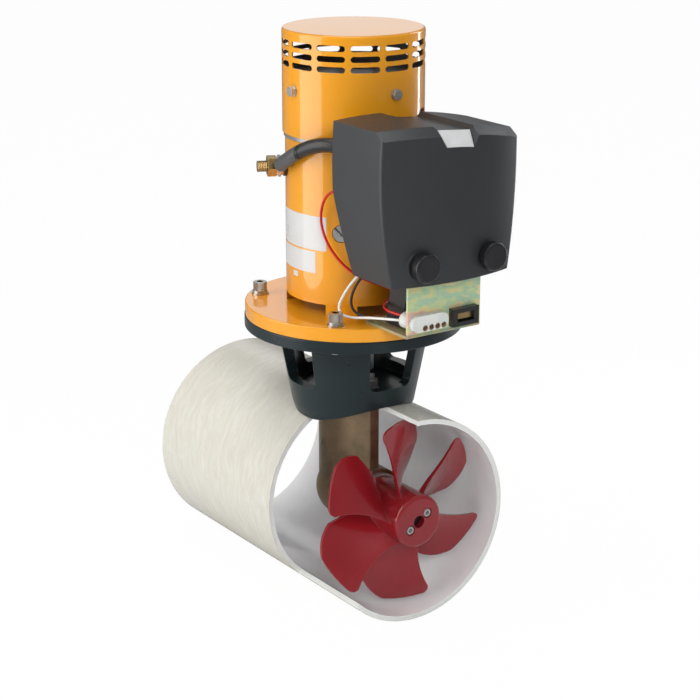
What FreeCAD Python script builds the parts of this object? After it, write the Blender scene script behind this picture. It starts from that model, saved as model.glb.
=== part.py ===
import FreeCAD, Part
import math
import os
import Sketcher
from FreeCAD import Placement, Rotation, Vector

# Electric bow thruster: a vertical motor on a flange housing, which drives a propeller
# through a bevel gear leg inside a transverse tunnel.
# Frame: millimetres, +Z up, the tunnel's axis along Y, the motor's axis along Z.
# The origin is where the two axes cross. The propeller end of the tunnel faces -Y.

DIMENSIONS = [
    ("tunnel_bore", 185.0, "inside diameter of the tunnel"),
    ("tunnel_wall", 4.6, "laminate thickness"),
    ("tunnel_near", 103.4, "near end, in front of the drive axis"),
    ("tunnel_far", 197.9, "far end, behind the drive axis"),
    ("window_back", 3.0, "back edge of the cut-away window, in front of the drive axis"),
    ("window_angle", 136.0, "cut-away window, from 12 o'clock round the left side"),
    ("gasket", 1.0, "saddle gasket thickness"),
    ("leg_rear_radius", 23.0, "trailing curve of the leg's section"),
    ("leg_rear_centre", 17.5, "its centre, behind the drive axis"),
    ("leg_nose", 34.5, "flat leading face, in front of the drive axis"),
    ("leg_nose_half", 4.8, "half width of the leading face"),
    ("leg_top", 99.0, "top face of the leg"),
    ("gear_case_radius", 31.0, "outside of the gear case"),
    ("gear_case_centre", 8.0, "centre of its round rear end"),
    ("gear_case_front", 38.0, "front face of the gear case"),
    ("housing_floor", 106.0, "floor inside the flange housing"),
    ("housing_foot_radius", 57.4, "flange housing at its foot"),
    ("housing_foot", 92.0, "height where the foot's rounding starts"),
    ("housing_neck_radius", 71.2, "flange housing under its flange"),
    ("flange_radius", 101.1, "black flange of the housing"),
    ("flange_bottom", 164.5, "underside of the black flange"),
    ("plate_bottom", 175.7, "joint between the two flanges"),
    ("plate_top", 187.7, "top of the motor flange plate"),
    ("plate_radius", 100.4, "motor flange plate"),
    ("motor_bottom", 197.5, "lower rim of the motor housing"),
    ("motor_radius", 61.9, "outside of the motor housing"),
    ("motor_wall", 5.0, "motor housing thickness"),
    ("motor_top", 342.5, "upper rim of the motor housing"),
    ("cap_bottom", 346.2, "lower rim of the motor cap"),
    ("cap_top", 439.0, "top of the motor cap"),
    ("cap_radius", 64.1, "outside of the motor cap"),
    ("cap_wall", 1.6, "sheet thickness of the cap"),
    ("bolt_circle", 177.0, "pitch circle of the flange bolts"),
    ("shaft_radius", 8.5, "motor shaft"),
    ("drive_radius", 7.0, "drive shaft in the leg"),
    ("propeller_shaft_radius", 7.5, "propeller shaft"),
    ("propeller_radius", 87.5, "blade tips"),
    ("hub_radius", 25.0, "propeller hub"),
    ("hub_front", 105.5, "front face of the hub"),
    ("hub_rear", 46.0, "rear face of the hub"),
    ("blade_pitch", 218.0, "advance of the blade's helix in one turn"),
    ("control_centre", 2.0, "middle of the control unit, right of the drive axis"),
    ("panel_front", 134.5, "front face of the bracket's panel"),
    ("panel_left", 36.5, "left edge of the bracket"),
    ("panel_right", 42.3, "right edge of the bracket"),
    ("sheet", 2.5, "bracket sheet thickness"),
    ("cover_front", 155.0, "middle of the cover's bowed front"),
    ("cover_bow", 197.0, "radius of the bowed front"),
    ("cover_back", 69.0, "back edge of the cover"),
    ("cover_bottom", 239.0, "lower edge of the cover"),
    ("cover_crown", 372.6, "top of the cover at its middle"),
    ("cover_left", 372.2, "top of the cover's left side"),
    ("cover_right", 361.2, "top of the cover's right side, which slopes down"),
    ("cover_wall", 3.0, "wall thickness of the cover"),
    ("knob_centre", 0.5, "middle between the two knobs"),
    ("knob_spread", 36.0, "knob axes from that middle"),
    ("knob_height", 257.0, "height of the knob axes"),
    ("terminal_angle", 156.0, "direction of the motor terminal round the motor"),
    ("terminal_height", 315.5, "height of the motor terminal"),
]

BLADES = 6
PINION_TEETH = 13
WHEEL_TEETH = 20
GEAR_MODULE = 2.2
X, Y, Z = Vector(1, 0, 0), Vector(0, 1, 0), Vector(0, 0, 1)
DIAGONALS = (45, 135, 225, 315)
QUARTERS = (0, 90, 180, 270)
FIT = 0.05

doc = FreeCAD.newDocument("bow_thruster")
sheet = doc.addObject("Spreadsheet::Sheet", "dims")
for row, (alias, number, note) in enumerate(DIMENSIONS, 1):
    sheet.set(f"A{row}", note)
    sheet.set(f"B{row}", str(number))
    sheet.setAlias(f"B{row}", alias)
doc.recompute()

nodes = {}


def dim(expression):
    """The value of an expression in the sheet's aliases, which start with dims."""
    result = sheet.evalExpression(str(expression))
    return float(getattr(result, "Value", result))


# ---------------------------------------------------------------- PartDesign helpers

def new_body(label):
    body = doc.addObject("PartDesign::Body", label)
    body.Label = label
    nodes[label] = body
    return body


def sketch_on(body, plane, lift="0", turn=0.0):
    """A sketch on one of the body's own origin planes, lifted along the plane's normal."""
    sketch = body.newObject("Sketcher::SketchObject", f"{body.Label}_sketch")
    origin = next(f for f in body.Origin.OriginFeatures if f.Role == plane)
    sketch.AttachmentSupport = [(origin, "")]
    sketch.MapMode = "FlatFace"
    sketch.AttachmentOffset = Placement(Vector(), Rotation(Y, turn))
    if lift != "0":
        sketch.setExpression("AttachmentOffset.Base.z", lift)
    return sketch


def bind(sketch, kind, where, expression):
    index = sketch.addConstraint(Sketcher.Constraint(kind, *where, dim(expression)))
    sketch.setExpression(f"Constraints[{index}]", str(expression))


def polygon(sketch, corners):
    """A closed outline through corners, each a pair of expressions."""
    points = [Vector(dim(x), dim(y), 0) for x, y in corners]
    count = len(points)
    first = sketch.GeometryCount
    for i in range(count):
        sketch.addGeometry(Part.LineSegment(points[i], points[(i + 1) % count]), False)
    for i in range(count):
        after = first + (i + 1) % count
        sketch.addConstraint(Sketcher.Constraint("Coincident", first + i, 2, after, 1))
    for i, (x, y) in enumerate(corners):
        bind(sketch, "DistanceX", (-1, 1, first + i, 1), x)
        bind(sketch, "DistanceY", (-1, 1, first + i, 1), y)


def circle(sketch, x, y, radius):
    centre = Vector(dim(x), dim(y), 0)
    index = sketch.addGeometry(Part.Circle(centre, Z, dim(radius)), False)
    bind(sketch, "Radius", (index,), radius)
    bind(sketch, "DistanceX", (-1, 1, index, 3), x)
    bind(sketch, "DistanceY", (-1, 1, index, 3), y)


def stadium(sketch, x, y, half_length, half_width):
    """A slot outline with round ends, its long side along the sketch's first axis."""
    cx, cy, a, b = (dim(v) for v in (x, y, half_length, half_width))
    left, right = Vector(cx - a + b, cy, 0), Vector(cx + a - b, cy, 0)
    up = Vector(0, b, 0)
    quarter = math.pi / 2
    geometry = [
        Part.ArcOfCircle(Part.Circle(left, Z, b), quarter, 3 * quarter),
        Part.LineSegment(left - up, right - up),
        Part.ArcOfCircle(Part.Circle(right, Z, b), -quarter, quarter),
        Part.LineSegment(right + up, left + up),
    ]
    first = sketch.GeometryCount
    for item in geometry:
        sketch.addGeometry(item, False)
    joints = ((first, 2, first + 1, 1), (first + 1, 2, first + 2, 1),
              (first + 2, 2, first + 3, 1), (first + 3, 2, first, 1))
    for joint in joints:
        sketch.addConstraint(Sketcher.Constraint("Tangent", *joint))
    bind(sketch, "Radius", (first,), half_width)
    bind(sketch, "DistanceX", (first, 3, first + 2, 3), f"2 * ({half_length} - {half_width})")
    bind(sketch, "DistanceX", (-1, 1, first, 3), f"{x} - {half_length} + {half_width}")
    bind(sketch, "DistanceY", (-1, 1, first, 3), y)


def finish_feature(body, feature, adds, base=None):
    """Recompute and check that a feature changed the body's volume the right way."""
    base = base or feature.BaseFeature
    before = base.Shape.Volume if base else 0.0
    body.Tip = feature
    doc.recompute()
    after = feature.Shape.Volume
    if (after > before) != adds or abs(after - before) < 1e-3:
        raise ValueError(f"{feature.Name} changed the volume from {before:.1f} to {after:.1f}")
    return feature


def pad(body, sketch, length, reverse=False, middle=False):
    feature = body.newObject("PartDesign::Pad", "Pad")
    feature.Profile = sketch
    feature.setExpression("Length", length)
    feature.Reversed = reverse
    feature.Midplane = middle
    return finish_feature(body, feature, True)


def pocket(body, sketch, length=None, reverse=False, middle=False):
    feature = body.newObject("PartDesign::Pocket", "Pocket")
    feature.Profile = sketch
    if length is None:
        feature.Type = "ThroughAll"
    else:
        feature.setExpression("Length", length)
    feature.Reversed = reverse
    feature.Midplane = middle
    return finish_feature(body, feature, False)


def revolve(body, sketch, axis="V_Axis"):
    feature = body.newObject("PartDesign::Revolution", "Revolution")
    feature.Profile = sketch
    feature.ReferenceAxis = (sketch, [axis])
    feature.Angle = 360
    return finish_feature(body, feature, True)


def polar(body, features, count, axis="Z_Axis", adds=False):
    pattern = body.newObject("PartDesign::PolarPattern", "PolarPattern")
    pattern.Originals = features
    origin_axis = next(f for f in body.Origin.OriginFeatures if f.Role == axis)
    pattern.Axis = (origin_axis, [""])
    pattern.Angle = 360
    pattern.Occurrences = count
    return finish_feature(body, pattern, adds, features[-1])


def edge_names(shape, wanted):
    return [f"Edge{i}" for i, edge in enumerate(shape.Edges, 1) if wanted(edge)]


def round_edges(body, radius, wanted, adds=False, kind="Fillet"):
    base = body.Tip
    names = edge_names(base.Shape, wanted)
    feature = body.newObject(f"PartDesign::{kind}", kind)
    feature.Base = (base, names)
    feature.setExpression("Radius" if kind == "Fillet" else "Size", radius)
    return finish_feature(body, feature, adds)


def turned(label, profile):
    """A body of revolution about Z from a profile of radius and height expressions."""
    body = new_body(label)
    sketch = sketch_on(body, "XZ_Plane")
    polygon(sketch, profile)
    revolve(body, sketch)
    return body


def turned_on_y(label, profile):
    """A body of revolution about Y from a profile of Y and radius expressions."""
    body = new_body(label)
    sketch = sketch_on(body, "YZ_Plane")
    polygon(sketch, profile)
    revolve(body, sketch, "H_Axis")
    return body


def tube_profile(outer, inner, low, high):
    return [(inner, low), (outer, low), (outer, high), (inner, high)]


# ---------------------------------------------------------------- Part helpers

def feature(label, shape):
    """A sub-part whose shape is worked out directly, named after its file."""
    item = doc.addObject("Part::Feature", label)
    item.Label = label
    item.Shape = shape
    item.Placement = shape.Placement
    nodes[label] = item
    return item


def combine(kind, label, base, tool):
    item = doc.addObject(f"Part::{kind}", label)
    item.Base = base
    item.Tool = tool
    item.Label = label
    doc.recompute()
    return item


def ring_shape(outer, inner, low, high, axis=Z):
    outside = Part.makeCylinder(outer, high - low, axis * low, axis)
    return outside.cut(Part.makeCylinder(inner, high - low, axis * low, axis))


def hexagon(across, height, base, axis):
    """A hexagonal prism of the given width across flats, standing on base along axis."""
    radius = across / math.sqrt(3)
    corners = [Vector(radius * math.cos(a), radius * math.sin(a), 0)
               for a in (i * math.pi / 3 for i in range(7))]
    prism = Part.Face(Part.makePolygon(corners)).extrude(Vector(0, 0, height))
    prism.Placement = Placement(base, Rotation(Z, axis))
    return prism


def box(low, high):
    size = high - low
    return Part.makeBox(size.x, size.y, size.z, low)


def polar_point(radius, degrees, height=0.0):
    angle = math.radians(degrees)
    return Vector(radius * math.cos(angle), radius * math.sin(angle), height)


def around(shape, angles, axis=Z):
    return [shape.rotated(Vector(), axis, a) for a in angles]


def rounded(shape, radius, wanted):
    return shape.makeFillet(radius, [e for e in shape.Edges if wanted(e)])


def ends_at(edge, test):
    return all(test(v.Point) for v in edge.Vertexes)


def near(a, b, gap=0.05):
    return abs(a - b) < gap


# ---------------------------------------------------------------- tunnel and leg

def leg_section(grow, z):
    """The leg's streamlined section as a face: a round tail, bowed sides, a flat nose."""
    radius = dim("dims.leg_rear_radius") + grow
    centre = dim("dims.leg_rear_centre")
    nose = -dim("dims.leg_nose") - grow
    half = dim("dims.leg_nose_half") + grow
    run = centre - nose
    side_radius = ((radius - half) ** 2 + run ** 2) / (2 * (radius - half))
    middle_y = (centre + nose) / 2
    middle_x = radius - side_radius + math.sqrt(side_radius ** 2 - (centre - middle_y) ** 2)
    right = Part.Arc(Vector(half, nose, z), Vector(middle_x, middle_y, z), Vector(radius, centre, z))
    tail = Part.Arc(Vector(radius, centre, z), Vector(0, centre + radius, z), Vector(-radius, centre, z))
    left = Part.Arc(Vector(-radius, centre, z), Vector(-middle_x, middle_y, z), Vector(-half, nose, z))
    front = Part.LineSegment(Vector(-half, nose, z), Vector(half, nose, z))
    return Part.Face(Part.Wire([c.toShape() for c in (right, tail, left, front)]))


def leg_prism(grow, low, high):
    return leg_section(grow, low).extrude(Vector(0, 0, high - low))


def make_tunnel():
    """The laminated tube, with a cut-away window at its propeller end and the leg's hole."""
    body = new_body("tunnel_body")
    sketch = sketch_on(body, "XZ_Plane", "-dims.tunnel_far")
    circle(sketch, "0", "0", "dims.tunnel_bore / 2 + dims.tunnel_wall")
    circle(sketch, "0", "0", "dims.tunnel_bore / 2")
    pad(body, sketch, "dims.tunnel_near + dims.tunnel_far")
    window = sketch_on(body, "XZ_Plane", "dims.window_back")
    reach = "dims.tunnel_bore"
    polygon(window, [("0", "0"), ("-1.7", reach), (f"-{reach}", reach),
                     (f"-{reach}", f"{reach} * cos(dims.window_angle * 1deg) / sin(dims.window_angle * 1deg)")])
    pocket(body, window, "dims.tunnel_near", reverse=True)
    back = -dim("dims.window_back")
    round_edges(body, "10", lambda e: e.Length < 6 and ends_at(e, lambda p: near(p.y, back)), adds=True)
    del nodes["tunnel_body"]
    hole = doc.addObject("Part::Feature", "leg_hole")
    hole.Shape = leg_prism(1.0, 60.0, 120.0)
    nodes["tunnel"] = combine("Cut", "tunnel", body, hole)


def make_gasket():
    outer = dim("dims.tunnel_bore / 2 + dims.tunnel_wall")
    skin = ring_shape(outer + dim("dims.gasket"), outer, -60.0, 60.0, Y)
    disc = Part.makeCylinder(50.0, 60.0, Vector(0, 0, 60.0))
    feature("saddle_gasket", skin.common(disc).cut(leg_prism(2.0, 60.0, 120.0)))


STUD_PLACES = ((0.0, -28.0), (16.0, 17.0), (0.0, 32.0), (-16.0, 17.0))
STUD_RADIUS = 4.0
LEG_BEARING = 15.0
CARRIER_SPIGOT = 25.0


def make_leg():
    """The bronze gear leg: a streamlined column on a round-ended gear case."""
    centre, radius = dim("dims.gear_case_centre"), dim("dims.gear_case_radius")
    front = -dim("dims.gear_case_front")
    column = leg_prism(0.0, 0.0, dim("dims.leg_top"))
    column = rounded(column, 1.5, lambda e: e.Length > 90 and ends_at(e, lambda p: p.y < -30))
    ball = Part.makeSphere(radius, Vector(0, centre, 0))
    barrel = Part.makeCone(radius, radius - 1.0, centre - front, Vector(0, centre, 0), -Y)
    case = ball.fuse(barrel).common(Part.makeCylinder(radius, 120, Vector(0, front, 0), Y))
    leg = column.fuse(case).removeSplitter()
    cavities = [
        Part.makeCylinder(CARRIER_SPIGOT + FIT, 60.0, Vector(0, 22.0, 0), -Y),
        Part.makeCylinder(13.0, 8.0, Vector(0, 22.0, 0), Y),
        Part.makeCylinder(17.5, 30.0),
        Part.makeCylinder(LEG_BEARING, 12.0, Vector(0, 0, 34.0)),
        Part.makeCylinder(10.0, 80.0, Vector(0, 0, 20.0)),
        Part.makeCylinder(LEG_BEARING, 20.0, Vector(0, 0, 82.0)),
    ]
    cavities += [Part.makeCylinder(STUD_RADIUS + FIT, 30.0, Vector(x, y, 80.0)) for x, y in STUD_PLACES]
    feature("gear_leg", leg.cut(cavities))


def make_leg_studs():
    """Four studs that draw the leg up against the housing's floor, each with nut and washers."""
    floor = dim("dims.housing_floor")
    pieces = []
    for x, y in STUD_PLACES:
        base = Vector(x, y, floor)
        pieces.append(Part.makeCylinder(STUD_RADIUS, floor + 15.0 - 82.0, Vector(x, y, 82.0)))
        washers = (Part.makeCylinder(8.0, 1.6, base), Part.makeCylinder(6.8, 2.0, base + Z * 1.6))
        nut = hexagon(13.0, 6.5, base + Z * 3.6, Z)
        hole = Part.makeCylinder(STUD_RADIUS, 30.0, base)
        pieces += [piece.cut(hole) for piece in (*washers, nut)]
    feature("leg_studs", Part.makeCompound(pieces))


def make_flange_housing():
    """The cast cone between tunnel and motor: four legs, a saddle foot and a bolting flange."""
    body = new_body("flange_housing_body")
    sketch = sketch_on(body, "XZ_Plane")
    foot = "dims.housing_foot_radius"
    polygon(sketch, [
        ("0", "dims.housing_foot - 20"), (f"{foot} - 11", "dims.housing_foot - 17"), (f"{foot} - 3", "dims.housing_foot - 9"),
        (foot, "dims.housing_foot"), ("dims.housing_neck_radius", "dims.flange_bottom"),
        ("dims.flange_radius", "dims.flange_bottom"), ("dims.flange_radius", "dims.plate_bottom"),
        ("58", "dims.plate_bottom"), ("58", "dims.housing_floor + 44"), ("50", "dims.housing_floor"),
        ("0", "dims.housing_floor")])
    revolve(body, sketch)
    sill, head = "dims.housing_floor + 9.5", "dims.flange_bottom - 4.5"
    for plane in ("XZ_Plane", "YZ_Plane"):
        window = sketch_on(body, plane)
        polygon(window, [("-22.3", sill), ("22.3", sill), ("26.5", head), ("-26.5", head)])
        pocket(body, window, "300", middle=True)
    low = dim(sill)
    round_edges(body, "7", lambda e: ends_at(e, lambda p: near(p.z, low)) and e.Length < 12
                and type(e.Curve).__name__ == "Line", adds=True)
    bolts = sketch_on(body, "XY_Plane", "dims.plate_bottom")
    circle(bolts, "dims.bolt_circle / 2 * cos(45deg)", "dims.bolt_circle / 2 * sin(45deg)", "4.05")
    polar(body, [pocket(body, bolts, "30")], 4)
    studs = sketch_on(body, "XY_Plane", "dims.housing_floor")
    for x, y in STUD_PLACES:
        circle(studs, str(x), str(y), "4.3")
    circle(studs, "0", "0", "9")
    pocket(body, studs, "40")
    edge = dim("dims.flange_radius")
    round_edges(body, "1.2", lambda e: near(e.BoundBox.XLength, 2 * edge) and near(e.BoundBox.ZLength, 0))
    del nodes["flange_housing_body"]
    saddle = doc.addObject("Part::Feature", "saddle")
    outer = dim("dims.tunnel_bore / 2 + dims.tunnel_wall + dims.gasket")
    saddle.Shape = Part.makeCylinder(outer, 200.0, Vector(0, -100.0, 0), Y).fuse(
        leg_prism(0.4, 60.0, dim("dims.leg_top")))
    nodes["flange_housing"] = combine("Cut", "flange_housing", body, saddle)


# ---------------------------------------------------------------- gears and shafts

def involute_half_angle(radius, base, pitch, half_tooth):
    """Angle from a tooth's middle to its flank at a radius, on the back cone."""
    def roll(r):
        ratio = math.sqrt(max((r / base) ** 2 - 1, 0.0))
        return ratio - math.atan(ratio)
    return half_tooth + roll(pitch) - roll(radius)


def bevel_gear(teeth, other, face, bore, hub_radius, hub_end, phase):
    """A straight bevel gear about Z, its cone's apex at the origin and its teeth facing down."""
    cone = math.atan(teeth / other)
    pitch = GEAR_MODULE * teeth / 2
    distance = pitch / math.sin(cone)
    virtual = pitch / math.cos(cone)
    base = virtual * math.cos(math.radians(20))
    tip, root = virtual + 0.9 * GEAR_MODULE, virtual - 1.15 * GEAR_MODULE
    half_tooth = 0.42 * math.pi * GEAR_MODULE / 2 / virtual
    levels = [max(root, base * 1.001), virtual, tip]
    flank = [(root, involute_half_angle(levels[0], base, virtual, half_tooth))]
    flank += [(r, involute_half_angle(r, base, virtual, half_tooth)) for r in levels]

    def on_back_cone(r, angle, scale):
        rise = (r - virtual) * math.cos(cone)
        radius = (pitch + rise) * scale
        height = (distance * math.cos(cone) - (r - virtual) * math.sin(cone)) * scale
        turn = angle / math.cos(cone)
        return Vector(radius * math.cos(turn), radius * math.sin(turn), height)

    inner = (distance - face) / distance
    outline = [(r, -a) for r, a in flank] + [(r, a) for r, a in reversed(flank)]
    sections = []
    for scale in (1.0, inner):
        points = [on_back_cone(r, a, scale) for r, a in outline]
        sections.append(points + points[:1])
    tooth = tooth_solid(sections[0], sections[1])
    blank = gear_blank(on_back_cone(root + 0.25, 0, 1.0), on_back_cone(root + 0.25, 0, inner), bore,
                       hub_radius, hub_end)
    step = 360.0 / teeth
    ring = [tooth.rotated(Vector(), Z, phase + i * step) for i in range(teeth)]
    return blank.fuse(ring)


def tooth_solid(outer, inner):
    """A closed solid between two similar outlines, made of flat facets."""
    faces = []
    count = len(outer) - 1
    for i in range(count):
        a, b, c, d = outer[i], outer[i + 1], inner[i + 1], inner[i]
        for corners in ((a, b, c, a), (a, c, d, a)):
            if (corners[1] - corners[0]).cross(corners[2] - corners[0]).Length > 1e-9:
                faces.append(Part.Face(Part.makePolygon(list(corners))))
    half = count // 2
    for ring in (outer, inner):
        for i in range(half - 1):
            j = count - 1 - i
            for corners in ((ring[i], ring[i + 1], ring[j - 1], ring[i]), (ring[i], ring[j - 1], ring[j], ring[i])):
                if (corners[1] - corners[0]).cross(corners[2] - corners[0]).Length > 1e-9:
                    faces.append(Part.Face(Part.makePolygon(list(corners))))
    shell = Part.Shell(faces)
    shell.sewShape()
    solid = Part.Solid(shell)
    if solid.Volume < 0:
        solid.reverse()
    return solid


def gear_blank(outer_root, inner_root, bore, hub_radius, hub_end):
    """The gear's body under its teeth, with a hub that runs back to hub_end."""
    r1, z1 = math.hypot(outer_root.x, outer_root.y), outer_root.z
    r2, z2 = math.hypot(inner_root.x, inner_root.y), inner_root.z
    profile = [Vector(bore, 0, z2), Vector(r2, 0, z2), Vector(r1, 0, z1), Vector(r1 - 1.5, 0, z1 + 3.0),
               Vector(hub_radius, 0, z1 + 3.0), Vector(hub_radius, 0, hub_end), Vector(bore, 0, hub_end)]
    return Part.Face(Part.makePolygon(profile + profile[:1])).revolve(Vector(), Z, 360)


def make_gears():
    """Bevel pinion on the drive shaft and crown wheel behind it on the propeller shaft."""
    pinion = bevel_gear(PINION_TEETH, WHEEL_TEETH, 8.0, dim("dims.drive_radius"), 10.0, 33.0, 90.0)
    feature("bevel_pinion", pinion)
    wheel = bevel_gear(WHEEL_TEETH, PINION_TEETH, 8.0, dim("dims.propeller_shaft_radius"), 11.0, 21.5,
                       90.0 + 180.0 / WHEEL_TEETH)
    wheel = wheel.rotated(Vector(), X, -90)
    feature("crown_wheel", wheel)


def make_shafts():
    turned("motor_shaft", [
        ("0", "149"), ("dims.shaft_radius", "149"), ("dims.shaft_radius", "213"), ("10", "213"), ("10", "376"),
        ("dims.shaft_radius", "376"), ("dims.shaft_radius", "394"), ("0", "394")])
    turned("drive_shaft", [("0", "17"), ("dims.drive_radius", "17"), ("dims.drive_radius", "139"), ("0", "139")])
    turned_on_y("propeller_shaft", [
        ("-98", "0"), ("-98", "dims.propeller_shaft_radius"), ("29.5", "dims.propeller_shaft_radius"), ("29.5", "0")])
    drive, prop, motor = (dim(f"dims.{n}_radius") for n in ("drive", "propeller_shaft", "shaft"))
    feature("leg_bearings", Part.makeCompound([
        ring_shape(LEG_BEARING, drive + FIT, 34.0, 45.0), ring_shape(LEG_BEARING, drive + FIT, 82.0, 93.0),
        ring_shape(13.0, prop + FIT, 22.0, 30.0, Y), ring_shape(16.0, prop + FIT, -36.0, -25.0, Y)]))
    feature("motor_bearings", Part.makeCompound([
        ring_shape(20.0, motor + FIT, 199.5, 211.5), ring_shape(17.5, motor + FIT, 384.5, 395.0)]))
    feature("shaft_seals", Part.makeCompound([
        ring_shape(13.5, prop + 0.1, -43.5, -37.5, Y), ring_shape(LEG_BEARING, drive + 0.1, 93.5, 98.5)]))
    turned_on_y("bearing_carrier", [
        ("-36.5", "16"), ("-37.5", "16"), ("-37.5", "13.5"), ("-44", "13.5"), ("-44", "25.4"), ("-43", "26.4"),
        ("-dims.gear_case_front", "26.4"), ("-dims.gear_case_front", "25"), ("-24.5", "25"), ("-24.5", "16")])


def coupling_jaws(low, high, turn):
    """Three jaws of 50 degrees on a ring, for the two halves of the flexible coupling."""
    ring = ring_shape(19.0, 9.5, low, high)
    wedge = Part.makeCylinder(30.0, high - low, Vector(0, 0, low), Z, 50)
    wedges = [wedge.rotated(Vector(), Z, turn + a) for a in (0, 120, 240)]
    return [ring.common(piece) for piece in wedges]


def make_coupling():
    upper = ring_shape(19.0, dim("dims.shaft_radius"), 149.0, 166.0).fuse(coupling_jaws(139.5, 149.0, 0))
    lower = ring_shape(19.0, dim("dims.drive_radius"), 121.0, 139.0).fuse(coupling_jaws(139.0, 148.5, 60))
    feature("coupling_upper", upper)
    feature("coupling_lower", lower)
    spokes = ring_shape(18.5, 9.5, 139.5, 148.5)
    gaps = [Part.makeCylinder(30.0, 20.0, Vector(0, 0, 130.0), Z, 52).rotated(Vector(), Z, a - 1)
            for a in range(0, 360, 60)]
    core = ring_shape(9.5, 5.0, 139.5, 148.5)
    feature("coupling_spider", spokes.cut(gaps).fuse(core))


# ---------------------------------------------------------------- propeller

def blade_height(x, z):
    """Y of the blade's middle surface: a helicoid that passes the hub near its front edge."""
    angle = math.degrees(math.atan2(x, z))
    return -85.8 + dim("dims.blade_pitch") / 360.0 * (angle + 19.3)


def blade_slice(z, thickness):
    """A closed section of the twisted blade at one height: rounded at both ends."""
    reach = 14.0 + 0.42 * z
    steps = [reach * (i / 4.0 - 1.0) for i in range(9)]
    half = [thickness / 2 * math.sqrt(max(1.0 - (x / (reach * 1.25)) ** 2, 0.0)) for x in steps]
    slope = dim("dims.blade_pitch") / (2 * math.pi)
    stretch = [math.hypot(1.0, slope * z / (x * x + z * z)) for x in steps]
    top = [Vector(x, blade_height(x, z) + h * k, z) for x, h, k in zip(steps, half, stretch)]
    low = [Vector(x, blade_height(x, z) - h * k, z) for x, h, k in zip(steps, half, stretch)]
    upper, lower = Part.BSplineCurve(), Part.BSplineCurve()
    upper.interpolate(top)
    lower.interpolate(list(reversed(low)))
    ends = (Part.LineSegment(top[-1], low[-1]), Part.LineSegment(low[0], top[0]))
    return Part.Wire([upper.toShape(), ends[0].toShape(), lower.toShape(), ends[1].toShape()])


def blade_outline():
    """The blade seen along its shaft: hollow leading edge, arched tip, clipped trailing corner."""
    tip = dim("dims.propeller_radius")
    lead_root, trail_root = polar_xz(20.0, -40), polar_xz(20.0, 48)
    lead_tip, tip_middle, tip_end = polar_xz(tip, -19.3), polar_xz(tip, -4.5), polar_xz(tip, 10.3)
    clipped = polar_xz(67.0, 28.0)
    lead = Part.Arc(lead_root, polar_xz(50.0, -16.5), lead_tip)
    crown = Part.Arc(lead_tip, tip_middle, tip_end)
    corner = Part.Arc(tip_end, polar_xz(78.5, 20.5), clipped)
    trail = Part.Arc(clipped, polar_xz(44.0, 32.5), trail_root)
    foot = Part.LineSegment(trail_root, lead_root)
    return Part.Face(Part.Wire([c.toShape() for c in (lead, crown, corner, trail, foot)]))


def polar_xz(radius, degrees):
    angle = math.radians(degrees)
    return Vector(radius * math.sin(angle), 0, radius * math.cos(angle))


def make_blade():
    sections = [blade_slice(z, t) for z, t in ((8, 5.6), (28, 4.6), (52, 3.4), (76, 2.7), (96, 2.3))]
    twisted = Part.makeLoft(sections, True, False)
    prism = blade_outline().extrude(Vector(0, 88, 0))
    tip = dim("dims.propeller_radius")
    for place, radius in ((polar_xz(tip, -19.3), 6.0), (polar_xz(tip, 10.3), 6.0), (polar_xz(67.0, 28.0), 4.0)):
        prism = rounded(prism, radius, lambda e: near(e.Length, 88) and ends_at(
            e, lambda p: math.hypot(p.x - place.x, p.z - place.z) < 0.1))
    prism.translate(Vector(0, -135, 0))
    return twisted.common(prism)


SCREW_ANGLE = 54.6
SCREW_RADIUS = 11.5


def make_propeller():
    """Six-bladed moulded propeller on a hollow hub, open at the back for its carrier."""
    front, rear, radius = -dim("dims.hub_front"), -dim("dims.hub_rear"), dim("dims.hub_radius")
    hub = Part.makeCylinder(radius, rear - front, Vector(0, front, 0), Y)
    hub = rounded(hub, 3.5, lambda e: near(e.BoundBox.YMin, front) and near(e.BoundBox.YLength, 0))
    blade = make_blade()
    blades = [blade.rotated(Vector(), Y, 360.0 / BLADES * i) for i in range(BLADES)]
    whole = hub.fuse(blades)
    cuts = [Part.makeCylinder(18.0, 60.0, Vector(0, front + 7.0, 0), Y),
            Part.makeCylinder(6.0, 20.0, Vector(0, front - 1, 0), Y)]
    for turn in (SCREW_ANGLE, SCREW_ANGLE + 180):
        place = polar_xz(SCREW_RADIUS, turn)
        cuts.append(Part.makeCylinder(2.8, 20.0, place + Y * (front - 1), Y))
        cuts.append(Part.makeCylinder(4.8, 4.2, place + Y * front, Y))
    feature("propeller", whole.cut(cuts).removeSplitter())


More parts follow.
